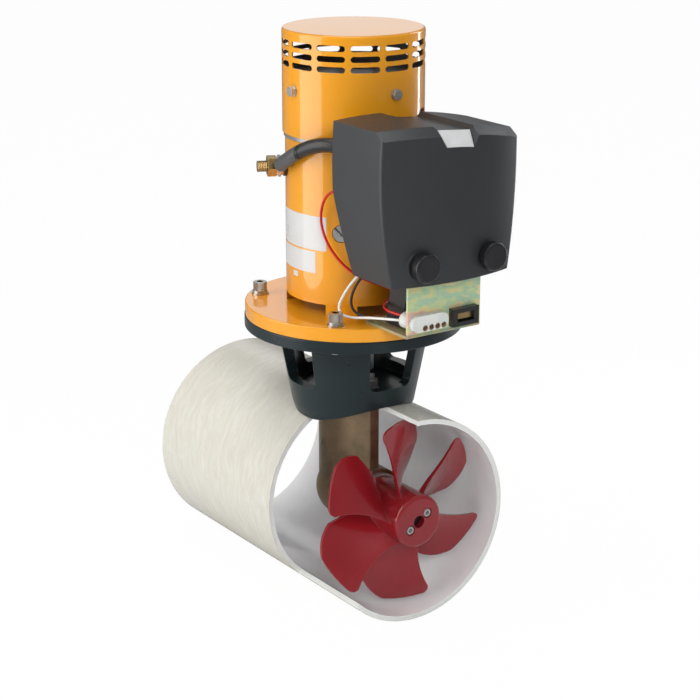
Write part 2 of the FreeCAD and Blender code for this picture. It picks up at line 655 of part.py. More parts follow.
def make_propeller_carrier():
    front = -dim("dims.hub_front") + 7.0
    shaft = dim("dims.propeller_shaft_radius")
    carrier = Part.makeCylinder(18.0, -47.0 - front, Vector(0, front, 0), Y)
    cuts = [Part.makeCylinder(shaft, 80.0, Vector(0, front - 1, 0), Y),
            Part.makeCylinder(2.5, 36.0, Vector(-18.0, -58.0, 0), X)]
    screws = []
    for turn in (SCREW_ANGLE, SCREW_ANGLE + 180):
        place = polar_xz(SCREW_RADIUS, turn) + Y * (front - 5.4)
        head = Part.makeCylinder(3.7, 3.6, place + Y * -1.2, Y)
        socket = hexagon(4.0, 2.4, place + Y * -1.2, Y)
        shank = Part.makeCylinder(2.5, 16.0, place + Y * 2.4, Y)
        screws.append(head.fuse(shank).cut(socket))
        cuts.append(Part.makeCylinder(2.5, 14.0, place + Y * 5.0, Y))
    feature("propeller_carrier", carrier.cut(cuts))
    feature("propeller_screws", Part.makeCompound(screws))
    pin = Part.makeCylinder(2.5, 35.6, Vector(-17.8, -58.0, 0), X)
    feature("drive_pin", pin)
    shaft_body = nodes.pop("propeller_shaft")
    hole = doc.addObject("Part::Feature", "pin_hole")
    hole.Shape = Part.makeCylinder(2.5, 36.0, Vector(-18.0, -58.0, 0), X)
    shaft_body.Label = "propeller_shaft_body"
    nodes["propeller_shaft"] = combine("Cut", "propeller_shaft", shaft_body, hole)


# ---------------------------------------------------------------- motor

BRACKET_SCREWS = (-26.0, 34.0)


def make_motor_flange():
    """Yellow adapter plate with a short ported neck that carries the motor."""
    body = turned("motor_flange", [
        ("22", "dims.plate_bottom - 3"), ("57.9", "dims.plate_bottom - 3"), ("57.9", "dims.plate_bottom"),
        ("dims.plate_radius", "dims.plate_bottom"), ("dims.plate_radius", "dims.plate_top"),
        ("dims.motor_radius", "dims.plate_top"), ("dims.motor_radius", "dims.motor_bottom"),
        ("46", "dims.motor_bottom"), ("46", "dims.plate_top"), ("22", "dims.plate_top")])
    rim, top = dim("dims.plate_radius"), dim("dims.plate_top")
    round_edges(body, "1.2", lambda e: near(e.BoundBox.XLength, 2 * rim) and near(e.BoundBox.ZMin, top))
    for plane in ("XZ_Plane", "YZ_Plane"):
        port = sketch_on(body, plane)
        polygon(port, [("-32.3", "dims.plate_top"), ("32.3", "dims.plate_top"),
                       ("32.3", "dims.motor_bottom"), ("-32.3", "dims.motor_bottom")])
        pocket(body, port, "300", middle=True)
    holes = sketch_on(body, "XY_Plane", "dims.plate_top")
    circle(holes, "dims.bolt_circle / 2 * cos(45deg)", "dims.bolt_circle / 2 * sin(45deg)", "4.5")
    motor_holes = sketch_on(body, "XY_Plane", "dims.motor_bottom")
    circle(motor_holes, "52 * cos(45deg)", "52 * sin(45deg)", "3.3")
    sinks = sketch_on(body, "XY_Plane", "dims.plate_bottom - 3")
    circle(sinks, "52 * cos(45deg)", "52 * sin(45deg)", "5.3")
    cuts = [pocket(body, holes, "20"), pocket(body, motor_holes, "30"), pocket(body, sinks, "10", reverse=True)]
    polar(body, cuts, 4)
    bracket_holes = sketch_on(body, "XY_Plane", "dims.plate_top")
    for x in BRACKET_SCREWS:
        circle(bracket_holes, str(x), "-77", "2.55")
    pocket(body, bracket_holes, "10")
    screws = []
    for angle in DIAGONALS:
        base = polar_point(52.0, angle, dim("dims.plate_bottom") - 2.5)
        head = Part.makeCylinder(5.0, 6.0, base).cut(hexagon(5.0, 3.0, base, Z))
        screws.append(head.fuse(Part.makeCylinder(3.0, 27.0, base + Z * 6.0)))
    feature("motor_screws", Part.makeCompound(screws))


def make_flange_bolts():
    """Socket head bolts with a flat and a spring washer each."""
    radius, top = dim("dims.bolt_circle / 2"), dim("dims.plate_top")
    bolts, washers = [], []
    for angle in DIAGONALS:
        base = polar_point(radius, angle, top)
        head = Part.makeCylinder(6.5, 8.0, base + Z * 3.8)
        head = head.cut(hexagon(6.0, 4.5, base + Z * 7.3, Z))
        head = head.makeFillet(0.7, [e for e in head.Edges if near(e.BoundBox.XLength, 13.0)
                                     and near(e.BoundBox.ZMin, base.z + 11.8)])
        bolts.append(head.fuse(Part.makeCylinder(4.0, 30.0, base + Z * -26.2)))
        flat = ring_shape(8.0, 4.2, 0.0, 1.6)
        split = ring_shape(6.9, 4.2, 1.6, 3.8).cut(Part.makeBox(4.0, 1.0, 4.0, Vector(4.0, -0.5, 1.0)))
        washers += [piece.translated(base) for piece in (flat, split)]
    feature("flange_bolts", Part.makeCompound(bolts + washers))


def radial_sketch(body, degrees):
    """A sketch on a plane through the motor's axis, facing out at an angle from +X."""
    return sketch_on(body, "XZ_Plane", turn=degrees + 90.0)


def make_motor_housing():
    inner = "dims.motor_radius - dims.motor_wall"
    body = turned("motor_housing", tube_profile("dims.motor_radius", inner, "dims.motor_bottom", "dims.motor_top"))
    bolt = radial_sketch(body, -135.0)
    circle(bolt, "0", "264", "8")
    cut = pocket(body, bolt, "80", reverse=True)
    polar(body, [cut], 4)
    post = radial_sketch(body, dim("dims.terminal_angle"))
    circle(post, "0", "dims.terminal_height", "6.5")
    pocket(body, post, "80", reverse=True)
    turned("lower_end_shield", [
        ("10", "dims.motor_bottom"), (inner, "dims.motor_bottom"), (inner, "212"), ("24", "212"), ("24", "213.5"),
        ("20", "213.5"), ("20", "199.5"), ("10", "199.5")])
    shield = nodes["lower_end_shield"]
    threads = sketch_on(shield, "XY_Plane", "212")
    circle(threads, "52 * cos(45deg)", "52 * sin(45deg)", "3")
    polar(shield, [pocket(shield, threads, "20")], 4)


POLE_HEIGHT = 264.0
CORE_LOW, CORE_HIGH = 222.0, 306.0


def sector(outer, inner, low, high, degrees, middle):
    ring = ring_shape(outer, inner, low, high)
    wedge = Part.makeCylinder(outer + 5, high - low, Vector(0, 0, low), Z, degrees)
    return ring.common(wedge.rotated(Vector(), Z, middle - degrees / 2))


def make_field():
    """Four pole shoes with their coils and the screws that hold them to the housing."""
    inner = dim("dims.motor_radius - dims.motor_wall")
    outer = dim("dims.motor_radius")
    shoes, coils, screws = [], [], []
    for angle in DIAGONALS:
        shoe = sector(46.5, 43.0, CORE_LOW - 2, CORE_HIGH + 2, 66, angle)
        shoe = shoe.fuse(sector(inner, 46.0, CORE_LOW + 8, CORE_HIGH - 8, 30, angle))
        outward = polar_point(1.0, angle)
        screw_hole = Part.makeCylinder(5.0, 12.0, polar_point(48.0, angle, POLE_HEIGHT), outward)
        shoes.append(shoe.cut(screw_hole))
        coil = sector(inner - 0.6, 47.0, CORE_LOW - 4, CORE_HIGH + 4, 62, angle)
        coils.append(coil.cut(sector(inner, 46.0, CORE_LOW + 7, CORE_HIGH - 7, 32, angle)))
        shank = Part.makeCylinder(5.0, inner - 50.0, polar_point(50.0, angle, POLE_HEIGHT), outward)
        head = Part.makeCylinder(7.5, outer - inner - 0.6, polar_point(inner, angle, POLE_HEIGHT), outward)
        slot = Part.makeBox(2.0, 20.0, 2.0, Vector(-1.0, -10.0, -2.0))
        slot.Placement = Placement(polar_point(outer - 0.6, angle, POLE_HEIGHT), Rotation(Z, outward)).multiply(
            slot.Placement)
        screws.append(shank.fuse(head).cut(slot))
    feature("pole_shoes", Part.makeCompound(shoes))
    feature("field_coils", Part.makeCompound(coils))
    feature("pole_screws", Part.makeCompound(screws))


def make_armature():
    core = ring_shape(41.5, 10.0, CORE_LOW, CORE_HIGH)
    slot = box(Vector(31.0, -1.6, CORE_LOW - 1), Vector(45.0, 1.6, CORE_HIGH + 1))
    slots = around(slot, [i * 360.0 / 16 for i in range(16)])
    feature("armature_core", core.cut(slots))
    ends = [ring_shape(38.0, 14.0, CORE_LOW - 7, CORE_LOW), ring_shape(38.0, 14.0, CORE_HIGH, CORE_HIGH + 26)]
    commutator = ring_shape(29.0, 10.0, 338.0, 342.0).fuse(ring_shape(26.0, 10.0, 342.0, 374.0))
    feature("armature_windings", Part.makeCompound(ends + [commutator]))


def make_brush_gear():
    """End frame with four posts, and the brush ring with boxes, brushes and springs."""
    rim = "dims.cap_radius - dims.cap_wall - 0.2"
    body = turned("brush_frame", [
        ("54", "dims.motor_top"), ("63", "dims.motor_top"), ("63", "dims.cap_bottom"), (rim, "dims.cap_bottom"),
        (rim, "396"), ("0", "396"), ("0", "395"), ("17.5", "395"), ("17.5", "384"), ("58", "384"),
        ("58", "dims.cap_bottom"), ("54", "dims.cap_bottom")])
    for plane in ("XZ_Plane", "YZ_Plane"):
        side = sketch_on(body, plane)
        polygon(side, [("-36", "350"), ("36", "350"), ("36", "380"), ("-36", "380")])
        pocket(body, side, "300", middle=True)
    vents = sketch_on(body, "XY_Plane", "396")
    circle(vents, "38 * cos(45deg)", "38 * sin(45deg)", "11")
    screw = radial_sketch(body, -90.0)
    circle(screw, "0", "387.2", "2.55")
    polar(body, [pocket(body, vents, "20"), pocket(body, screw, "80", reverse=True)], 4)
    cable_arch(body, 15.5)
    ring = ring_shape(57.9, 31.0, 376.0, 380.0)
    boxes = []
    for angle in QUARTERS:
        outer = box(Vector(30.0, -10.0, 346.5), Vector(57.0, 10.0, 376.0))
        inner = box(Vector(29.0, -8.05, 348.5), Vector(55.0, 8.05, 368.6))
        boxes.append(outer.cut(inner).rotated(Vector(), Z, angle))
    feature("brush_holders", ring.fuse(boxes))
    brush = box(Vector(20.0, -8.0, 348.5), Vector(46.0, 8.0, 368.5)).cut(Part.makeCylinder(26.3, 60.0, Z * 320))
    spring = ring_shape(5.5, 4.0, 46.0, 55.0, X).translated(Z * 358.5)
    feature("brushes", Part.makeCompound(around(brush, QUARTERS)))
    feature("brush_springs", Part.makeCompound(around(spring, QUARTERS)))


def cable_arch(body, half):
    """Cut the arch through which the brush cables leave, open at the cap's lower rim."""
    rim, spring = "dims.cap_bottom", "dims.cap_bottom + 8"
    doorway = radial_sketch(body, -52.0)
    polygon(doorway, [(f"-{half}", rim), (f"{half}", rim), (f"{half}", spring), (f"-{half}", spring)])
    pocket(body, doorway, "80", reverse=True)
    arc = radial_sketch(body, -52.0)
    circle(arc, "0", spring, str(half - 0.01))
    pocket(body, arc, "80", reverse=True)


def make_cap():
    """Sheet metal cap with three rings of cooling slots and an arch for the armature cables."""
    inner = "dims.cap_radius - dims.cap_wall"
    body = turned("motor_cap", [
        (inner, "dims.cap_bottom"), ("dims.cap_radius", "dims.cap_bottom"), ("dims.cap_radius", "dims.cap_top"),
        ("0", "dims.cap_top"), ("0", "dims.cap_top - dims.cap_wall"), (inner, "dims.cap_top - dims.cap_wall")])
    rim, top = dim("dims.cap_radius"), dim("dims.cap_top")
    round_edges(body, "2.5", lambda e: near(e.BoundBox.XLength, 2 * rim) and near(e.BoundBox.ZMin, top))
    rows = []
    for level in range(3):
        slot = radial_sketch(body, -115.3)
        stadium(slot, "0", f"409.6 + {level} * 9.2", "12.95", "2.6")
        rows.append(pocket(body, slot, "80", reverse=True))
    polar(body, rows, 13)
    screw = radial_sketch(body, -90.0)
    circle(screw, "0", "387.2", "2.7")
    polar(body, [pocket(body, screw, "80", reverse=True)], 4)
    cable_arch(body, 15.0)
    screws = []
    for angle in QUARTERS:
        outward = polar_point(1.0, angle)
        face = polar_point(rim, angle, 387.2)
        washer = Part.makeCylinder(5.0, 1.0, face, outward)
        head = hexagon(8.0, 3.6, face + outward * 1.0, outward)
        shank = Part.makeCylinder(2.5, 10.0, face - outward * 10.0, outward)
        screws.append(washer.fuse([head, shank]))
    feature("cap_screws", Part.makeCompound(screws))


# ---------------------------------------------------------------- terminal and cables

def on_terminal(distance, shape):
    """Move a shape that stands on the XY plane out along the terminal's axis."""
    angle = dim("dims.terminal_angle")
    outward = polar_point(1.0, angle)
    moved = shape.copy()
    place = Placement(polar_point(distance, angle, dim("dims.terminal_height")), Rotation(Z, outward))
    moved.Placement = place.multiply(moved.Placement)
    return moved


def make_terminal():
    """Threaded post through the motor housing, with its bush, washers, nut and cable lug."""
    wall = dim("dims.motor_radius")
    core = 4.4
    stud = Part.makeCylinder(core, 31.6).fuse(Part.makeCylinder(5.0, 8.5, Z * 31.6))
    feature("terminal_stud", on_terminal(48.0, stud))
    bush = ring_shape(9.5, core, wall, wall + 2.6).fuse(ring_shape(6.4, core, wall - 5.0, wall))
    feature("terminal_bush", on_terminal(0.0, bush))
    lug_low = wall + 2.6
    nut = hexagon(17.0, 8.0, Z * (lug_low + 6.6), Z).cut(Part.makeCylinder(core, 40.0, Z * lug_low))
    washers = [ring_shape(10.0, 5.25, lug_low + 2.6, lug_low + 4.6),
               ring_shape(8.6, 5.25, lug_low + 4.6, lug_low + 6.6)]
    feature("terminal_nuts", Part.makeCompound([on_terminal(0.0, piece) for piece in (nut, *washers)]))
    cord("motor_cable", CABLE_ROUTE, CABLE)
    tongue = box(Vector(-4.6, -22.0, lug_low), Vector(4.6, -5.5, lug_low + 2.6))
    eye = on_terminal(0.0, ring_shape(8.5, 5.25, lug_low, lug_low + 2.6).fuse(tongue))
    feature("cable_lug", eye.cut(nodes["motor_cable"].Shape))


def cord(label, points, diameter):
    """A cable along straight runs joined by tangent arcs as large as the runs allow."""
    corners = [Vector(*p) for p in points]
    edges, start, radii = [], corners[0], []
    for before, corner, after in zip(corners, corners[1:], corners[2:]):
        back, ahead = before - corner, after - corner
        run = min(back.Length, ahead.Length)
        turn = math.pi - back.getAngle(ahead)
        setback = 0.45 * run
        radius = setback / math.tan(turn / 2)
        radii.append(radius)
        unit_back, unit_ahead = back.normalize(), ahead.normalize()
        enter, leave = corner + unit_back * setback, corner + unit_ahead * setback
        bisector = (unit_back + unit_ahead).normalize()
        centre = corner + bisector * math.hypot(setback, radius)
        middle = centre - bisector * radius
        edges.append(Part.LineSegment(start, enter).toShape())
        edges.append(Part.Arc(enter, middle, leave).toShape())
        start = leave
    edges.append(Part.LineSegment(start, corners[-1]).toShape())
    path = Part.Wire(edges)
    section = Part.Wire(Part.Circle(corners[0], corners[1] - corners[0], diameter / 2).toShape())
    tube = path.makePipeShell([section], True, True)
    if not tube.isValid() or tube.ShapeType != "Solid":
        tube = Part.Solid(tube)
    expected = math.pi * diameter ** 2 / 4 * path.Length
    print(f"{label}: length {path.Length:.1f}, radii {min(radii):.1f} to {max(radii):.1f} "
          f"({min(radii) / diameter:.1f} diameters), volume {tube.Volume / expected:.4f} of section x length")
    feature(label, tube)


WIRE = 2.4
RED_ROUTE = [(-37.5, -92, 291), (-46, -86, 299), (-52.5, -71, 307), (-56.5, -53, 308), (-58.5, -38, 297),
             (-59, -33, 277), (-56, -38.5, 257), (-48.5, -49, 240), (-36, -57.5, 227.5), (-23, -62, 220.5),
             (-11.1, -64.5, 216), (-6.2, -73, 213), (-11.1, -81.5, 210.5), (-21, -82.5, 208.5), (-29, -88, 206.5),
             (-32.5, -97.5, 205), (-31, -108, 204.3), (-28, -118.3, 204)]
WHITE_ROUTE = [(-25.2, -81.6, 256), (-31, -71, 241), (-42, -60, 225), (-49, -53.5, 210), (-53, -52.5, 200),
               (-52, -57, 194), (-48, -67, 193), (-42, -80, 195.5), (-38.5, -93, 197.5), (-34, -106, 199),
               (-29, -118.3, 200)]
BLACK_ROUTE = [(-19.5, -80.9, 252), (-28, -71, 239), (-38, -62.5, 225), (-43.5, -58.5, 210), (-44, -60.5, 199.5),
               (-41, -68, 194.5), (-38, -79, 194.5), (-33.5, -92, 195.5), (-28.5, -106, 197.5),
               (-21, -118.3, 199)]
CABLE = 13.0
CABLE_ROUTE = [(-69.1, 14.4, 319.5), (-71, 1, 326.5), (-70.8, -15.5, 335.5), (-67, -32, 343.5),
               (-59.5, -49.5, 347.5), (-49.6, -65.5, 344), (-38, -78.3, 335), (-26.2, -87.1, 322.4)]


def make_cords():
    cord("red_wire", RED_ROUTE, WIRE)
    cord("white_wire", WHITE_ROUTE, WIRE)
    cord("black_wire", BLACK_ROUTE, WIRE)


# ---------------------------------------------------------------- control unit

def make_bracket():
    """Bent sheet bracket: a base on the motor flange, a front panel and two cover studs."""
    body = new_body("control_bracket")
    front = "-dims.panel_front"
    base, top = "dims.plate_top", "300"
    profile = sketch_on(body, "YZ_Plane", "-dims.panel_left")
    polygon(profile, [
        (front, base), ("-70", base), ("-70", f"{base} + dims.sheet"),
        (f"{front} + dims.sheet", f"{base} + dims.sheet"), (f"{front} + dims.sheet", top), (front, top)])
    pad(body, profile, "dims.panel_left + dims.panel_right")
    fy, fz = dim(front), dim(base)
    round_edges(body, "2.4", lambda e: e.Length > 70 and ends_at(e, lambda p: near(p.y, fy) and near(p.z, fz)))
    round_edges(body, "3", lambda e: near(e.Length, dim("dims.sheet")) and ends_at(e, lambda p: p.z > 299 or p.y > -71))
    socket = sketch_on(body, "XZ_Plane", "dims.panel_front")
    stadium(socket, "-15.4", "201.1", "20.2", "7.8")
    pocket(body, socket, "10")
    fuse = sketch_on(body, "XZ_Plane", "dims.panel_front")
    polygon(fuse, [("11", "195"), ("34", "195"), ("34", "206.3"), ("11", "206.3")])
    pocket(body, fuse, "10")
    screws = sketch_on(body, "XY_Plane", f"{base} + dims.sheet")
    for x in BRACKET_SCREWS:
        circle(screws, str(x), "-77", "2.6")
    pocket(body, screws, "10")
    studs = sketch_on(body, "XZ_Plane", "dims.panel_front")
    circle(studs, "dims.knob_centre - dims.knob_spread", "dims.knob_height", "3")
    circle(studs, "dims.knob_centre + dims.knob_spread", "dims.knob_height", "3")
    pad(body, studs, "24.5")
    pieces = []
    top_z = dim(f"{base} + dims.sheet")
    for x in BRACKET_SCREWS:
        head = Part.makeCylinder(4.6, 3.4, Vector(x, -77, top_z))
        slot = box(Vector(x - 0.6, -83, top_z + 2.2), Vector(x + 0.6, -71, top_z + 4))
        pieces.append(head.cut(slot).fuse(Part.makeCylinder(2.5, 12.0, Vector(x, -77, top_z - 12.0))))
    feature("bracket_screws", Part.makeCompound(pieces))


def frustum(low_half, low_z, high_half, high_z, centre):
    """A tapered block between two rectangles, each given by its half sizes."""
    wires = []
    for (a, b), z in ((low_half, low_z), (high_half, high_z)):
        corners = [Vector(centre[0] + sx * a, centre[1] + sy * b, z)
                   for sx, sy in ((-1, -1), (1, -1), (1, 1), (-1, 1), (-1, -1))]
        wires.append(Part.makePolygon(corners))
    return Part.makeLoft(wires, True, True)


COIL_SPREAD = 19.0
COIL_Y = -100.0
COIL_LOW, COIL_HIGH = 236.0, 276.0


def make_contactor():
    """Reversing contactor: two coils with plungers under a switch block with four posts."""
    centre = dim("dims.control_centre")
    floor = dim("dims.plate_top + dims.sheet")
    foot = frustum((27.0, 12.0), floor, (20.0, 12.0), COIL_LOW - 4, (centre, -98.0))
    shelf = box(Vector(centre - 38, -121, COIL_LOW - 4), Vector(centre + 38, -80, COIL_LOW))
    wells = [Part.makeCylinder(6.0, 12.0, Vector(centre + s * COIL_SPREAD, COIL_Y, COIL_LOW - 8)) for s in (-1, 1)]
    block = box(Vector(centre - 37.5, -122, COIL_HIGH), Vector(centre + 37.5, -78, 302.0))
    block = rounded(block, 2.0, lambda e: near(e.Length, 302.0 - COIL_HIGH))
    spine = box(Vector(centre - 1.2, -121, COIL_LOW), Vector(centre + 1.2, -80, COIL_HIGH))
    barrier = box(Vector(centre - 1.5, -121, 302), Vector(centre + 1.5, -79, 314))
    body = foot.fuse([shelf, block, spine, barrier])
    body = body.cut(wells)
    posts, coils = [], []
    for side in (-1, 1):
        x = centre + side * COIL_SPREAD
        coils.append(ring_shape(17.5, 5.0 + FIT, COIL_LOW, COIL_HIGH).translated(Vector(x, COIL_Y, 0)))
        name = "left" if side < 0 else "right"
        plunger = Part.makeCylinder(5.0, 43.0, Vector(x, COIL_Y, COIL_LOW - 6.5))
        feature(f"contactor_plunger_{name}", plunger)
        for y in (-110.0, -90.0):
            base = Vector(centre + side * 26.0, y, 302.0)
            post = Part.makeCylinder(4.0, 16.0, base)
            posts.append(post.fuse(hexagon(13.0, 5.5, base + Z * 2.5, Z)))
    feature("contactor_body", body)
    feature("contactor_coils", Part.makeCompound(coils))
    feature("contactor_terminals", Part.makeCompound(posts))


def make_connectors():
    """White four-way control socket and black fuse holder in the bracket's panel."""
    face = -dim("dims.panel_front")
    x, z = -15.4, 201.1
    shell = stadium_prism(x, z, 19.6, 7.3, face - 5.0, face + 15.25)
    rim = stadium_prism(x, z, 20.15, 7.75, face + 0.1, face + 2.4)
    holes, pins = [], []
    for i in range(4):
        x = -21.2 + i * 6.7
        holes.append(Part.makeCylinder(2.3, 8.0, Vector(x, face - 5.0, 197.0), Y))
        pins.append(ring_shape(1.7, 0.9, face - 3.5, face + 3.0, Y).translated(Vector(x, 0, 197.0)))
    feature("control_socket", shell.fuse(rim).cut(holes))
    feature("socket_pins", Part.makeCompound(pins))
    holder = box(Vector(8.1, face - 6.0, 192.7), Vector(36.7, face, 208.7))
    holder = holder.fuse(box(Vector(11.2, face, 195.2), Vector(33.8, face + 16.0, 206.1)))
    recess = box(Vector(13.2, face - 7.0, 196.5), Vector(31.8, face + 9.0, 204.9))
    feature("fuse_holder", holder.cut(recess))
    fuse = box(Vector(13.8, face - 2.5, 198.0), Vector(31.2, face + 4.0, 203.4))
    blades = [box(Vector(x - 2.6, face + 4.0, 200.3), Vector(x + 2.6, face + 9.0, 201.1)) for x in (17.3, 27.7)]
    feature("fuse", fuse.fuse(blades))


def stadium_prism(x, z, half_length, half_height, front, back):
    middle = box(Vector(x - half_length + half_height, front, z - half_height),
                 Vector(x + half_length - half_height, back, z + half_height))
    ends = [Part.makeCylinder(half_height, back - front, Vector(x + s * (half_length - half_height), front, z), Y)
            for s in (-1, 1)]
    return middle.fuse(ends).removeSplitter()


def cover_form(inset):
    """The cover's outside, or its inside when inset by the wall: barrel sides, crowned top, bowed front."""
    centre = dim("dims.control_centre")
    low = dim("dims.cover_bottom")
    crown, left, right = (dim(f"dims.cover_{name}") - inset for name in ("crown", "left", "right"))
    foot, waist, top = 63.0 - inset, 71.6 - inset, 70.6 - inset
    skew = 2.4
    back = -dim("dims.cover_back")

    def at(x, z):
        return Vector(centre + x, back, z)

    curves = [
        Part.LineSegment(at(-foot, low), at(foot, low)),
        Part.Arc(at(foot, low), at(waist + skew / 2, 312.0), at(top + skew, right)),
        Part.Arc(at(top + skew, right), at(0, crown), at(-top, left)),
        Part.Arc(at(-top, left), at(-waist, 312.0), at(-foot, low)),
    ]
    block = Part.Face(Part.Wire([c.toShape() for c in curves])).extrude(Vector(0, -110, 0))
    bow = dim("dims.cover_bow") - inset
    axis = Vector(centre, -dim("dims.cover_front") + dim("dims.cover_bow"), 0)
    block = block.common(Part.makeCylinder(bow, 500, axis))
    front = -dim("dims.cover_front") + inset
    lip = [e for e in block.Edges if e.BoundBox.ZMin > right - 1 and e.BoundBox.YMin < front + 1]
    block = block.makeChamfer(7.0, 10.0, lip)
    uprights = [e for e in block.Edges
                if e.BoundBox.ZLength > 90 and e.BoundBox.YMax < -135 + inset]
    block = block.makeFillet(4.0, uprights)
    return block


BADGE_FLOOR = 368.0
BADGE_ROLL = 0.09


def cover_notch(grow, depth):
    """Cutter for the channel across the cover's top and the sloping seat of the badge plate."""
    centre = dim("dims.control_centre")
    floor = BADGE_FLOOR - depth
    back = -dim("dims.cover_back") + 1
    low, high = 17.5 + grow, 17.5 + grow + 14.0
    channel = Part.makePolygon([Vector(centre + x, back, z - BADGE_ROLL * x) for x, z in (
        (-low, floor), (low, floor), (high, floor + 14), (-high, floor + 14), (-low, floor))])
    channel = Part.Face(channel).extrude(Vector(0, -100, 0))
    seat = badge_outline(centre, floor, grow, 0.0)
    mouth = badge_outline(centre, floor, grow + 9.0, 13.0)
    return channel.fuse(Part.makeLoft([seat, mouth], True, True))


def badge_outline(centre, floor, grow, lift):
    """The badge's trapezoid on its sloping seat, grown sideways and lifted off it."""
    slope = Vector(0, -13, 10).normalize() * lift
    top_y, top_z = -144.0, floor
    low_y, low_z = -154.0, floor - 13.0
    outline = ((-14.5 - grow, low_y, low_z), (14.5 + grow, low_y, low_z),
               (17.5 + grow, top_y, top_z), (-17.5 - grow, top_y, top_z))
    corners = [Vector(centre + x, y, z - BADGE_ROLL * x) for x, y, z in outline]
    return Part.makePolygon([p + slope for p in corners + corners[:1]])


def make_cover():
    """Moulded cover over the contactor, open behind and below, with a badge seat in its top."""
    wall = dim("dims.cover_wall")
    centre, low = dim("dims.control_centre"), dim("dims.cover_bottom")
    back = -dim("dims.cover_back")
    outer = cover_form(0.0).cut(cover_notch(0.0, 0.0))
    inner = cover_form(wall).cut(cover_notch(wall, wall))
    below = box(Vector(centre - 60, back - 75, low - 1), Vector(centre + 60, back + 1, low + 5))
    cover = outer.cut([inner, below])
    slant = Part.makePolygon([Vector(-100, y, z) for y, z in (
        (back + 1, 318), (back + 1, low - 1), (back - 19, low - 1), (back, 312), (back + 1, 318))])
    cover = cover.cut(Part.Face(slant).extrude(Vector(200, 0, 0)))
    for side in (-1, 1):
        x = dim("dims.knob_centre") + side * dim("dims.knob_spread")
        z = dim("dims.knob_height")
        cover = cover.fuse(Part.makeCylinder(13.0, 3.2, Vector(x, -150.4, z), Y))
        cover = cover.cut([Part.makeCylinder(11.0, 10.0, Vector(x, -150.4, z), -Y),
                           Part.makeCylinder(6.0, 30.0, Vector(x, -165.0, z), Y)])
    feature("control_cover", cover.removeSplitter())
    plate = Part.Face(badge_outline(centre, BADGE_FLOOR, -0.4, 0.0))
    plate = plate.extrude(Vector(0, -13, 10).normalize() * 1.2)
    feature("badge_plate", plate.common(cover_form(-1.5)))


def make_knobs():
    """Thumb nuts that hold the cover: a rounded head on a neck, bored for the bracket's studs."""
    for side, name in ((-1, "left"), (1, "right")):
        x = dim("dims.knob_centre") + side * dim("dims.knob_spread")
        centre = Vector(x, 0, dim("dims.knob_height"))
        head = Part.makeCylinder(12.7, 8.5, Vector(0, -163.5, 0), Y)
        head = rounded(head, 2.4, lambda e: near(e.BoundBox.YLength, 0) and e.BoundBox.YMin < -163)
        neck = Part.makeCylinder(8.2, 5.3, Vector(0, -156, 0), Y)
        sleeve = Part.makeCylinder(5.5, 4.7, Vector(0, -150.7, 0), Y)
        knob = head.fuse([neck, sleeve]).cut(Part.makeCylinder(3.0 + FIT, 15.0, Vector(0, -160.5, 0), Y))
        feature(f"knob_{name}", knob.translated(centre))


# ---------------------------------------------------------------- build and export

for make in (make_tunnel, make_gasket, make_leg, make_leg_studs, make_flange_housing, make_gears, make_shafts,
             make_coupling, make_propeller, make_propeller_carrier, make_motor_flange, make_flange_bolts,
             make_motor_housing, make_field, make_armature, make_brush_gear, make_cap, make_terminal, make_cords,
             make_bracket, make_contactor, make_connectors, make_cover, make_knobs):
    make()
doc.recompute()

for item in doc.Objects:
    if {"Invalid", "Error"} & set(item.State):
        raise RuntimeError(f"{item.Name} failed: {item.State}")
for label, item in nodes.items():
    if item.Shape.isNull() or not item.Shape.isValid() or not item.Shape.Solids:
        raise RuntimeError(f"{label} has no valid solid")

os.makedirs("parts", exist_ok=True)
for label, item in nodes.items():
    item.Shape.exportStep(f"parts/{label}.step")
print(f"{len(nodes)} nodes written")
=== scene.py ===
import math

import bpy
from mathutils import Matrix, Vector


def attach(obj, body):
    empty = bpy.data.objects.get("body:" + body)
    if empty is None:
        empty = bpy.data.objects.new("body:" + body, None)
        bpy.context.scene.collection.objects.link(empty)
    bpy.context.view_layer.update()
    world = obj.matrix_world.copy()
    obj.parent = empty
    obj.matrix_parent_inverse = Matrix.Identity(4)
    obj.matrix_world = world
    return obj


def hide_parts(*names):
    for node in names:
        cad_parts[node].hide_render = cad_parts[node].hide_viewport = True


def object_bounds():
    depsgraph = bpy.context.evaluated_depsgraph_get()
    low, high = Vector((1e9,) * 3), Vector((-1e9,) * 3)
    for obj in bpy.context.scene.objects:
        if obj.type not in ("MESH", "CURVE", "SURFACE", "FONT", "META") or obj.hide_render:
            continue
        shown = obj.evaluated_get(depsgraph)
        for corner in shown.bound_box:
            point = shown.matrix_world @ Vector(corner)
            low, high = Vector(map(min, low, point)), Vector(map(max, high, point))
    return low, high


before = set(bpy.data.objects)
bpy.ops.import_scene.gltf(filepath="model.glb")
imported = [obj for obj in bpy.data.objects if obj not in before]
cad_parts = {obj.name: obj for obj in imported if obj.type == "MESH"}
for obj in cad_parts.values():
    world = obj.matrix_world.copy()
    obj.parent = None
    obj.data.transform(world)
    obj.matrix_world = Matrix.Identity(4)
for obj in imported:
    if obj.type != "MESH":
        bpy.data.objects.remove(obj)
cad_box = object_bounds()

MM = 0.001
WHITE = (1.0, 1.0, 1.0)

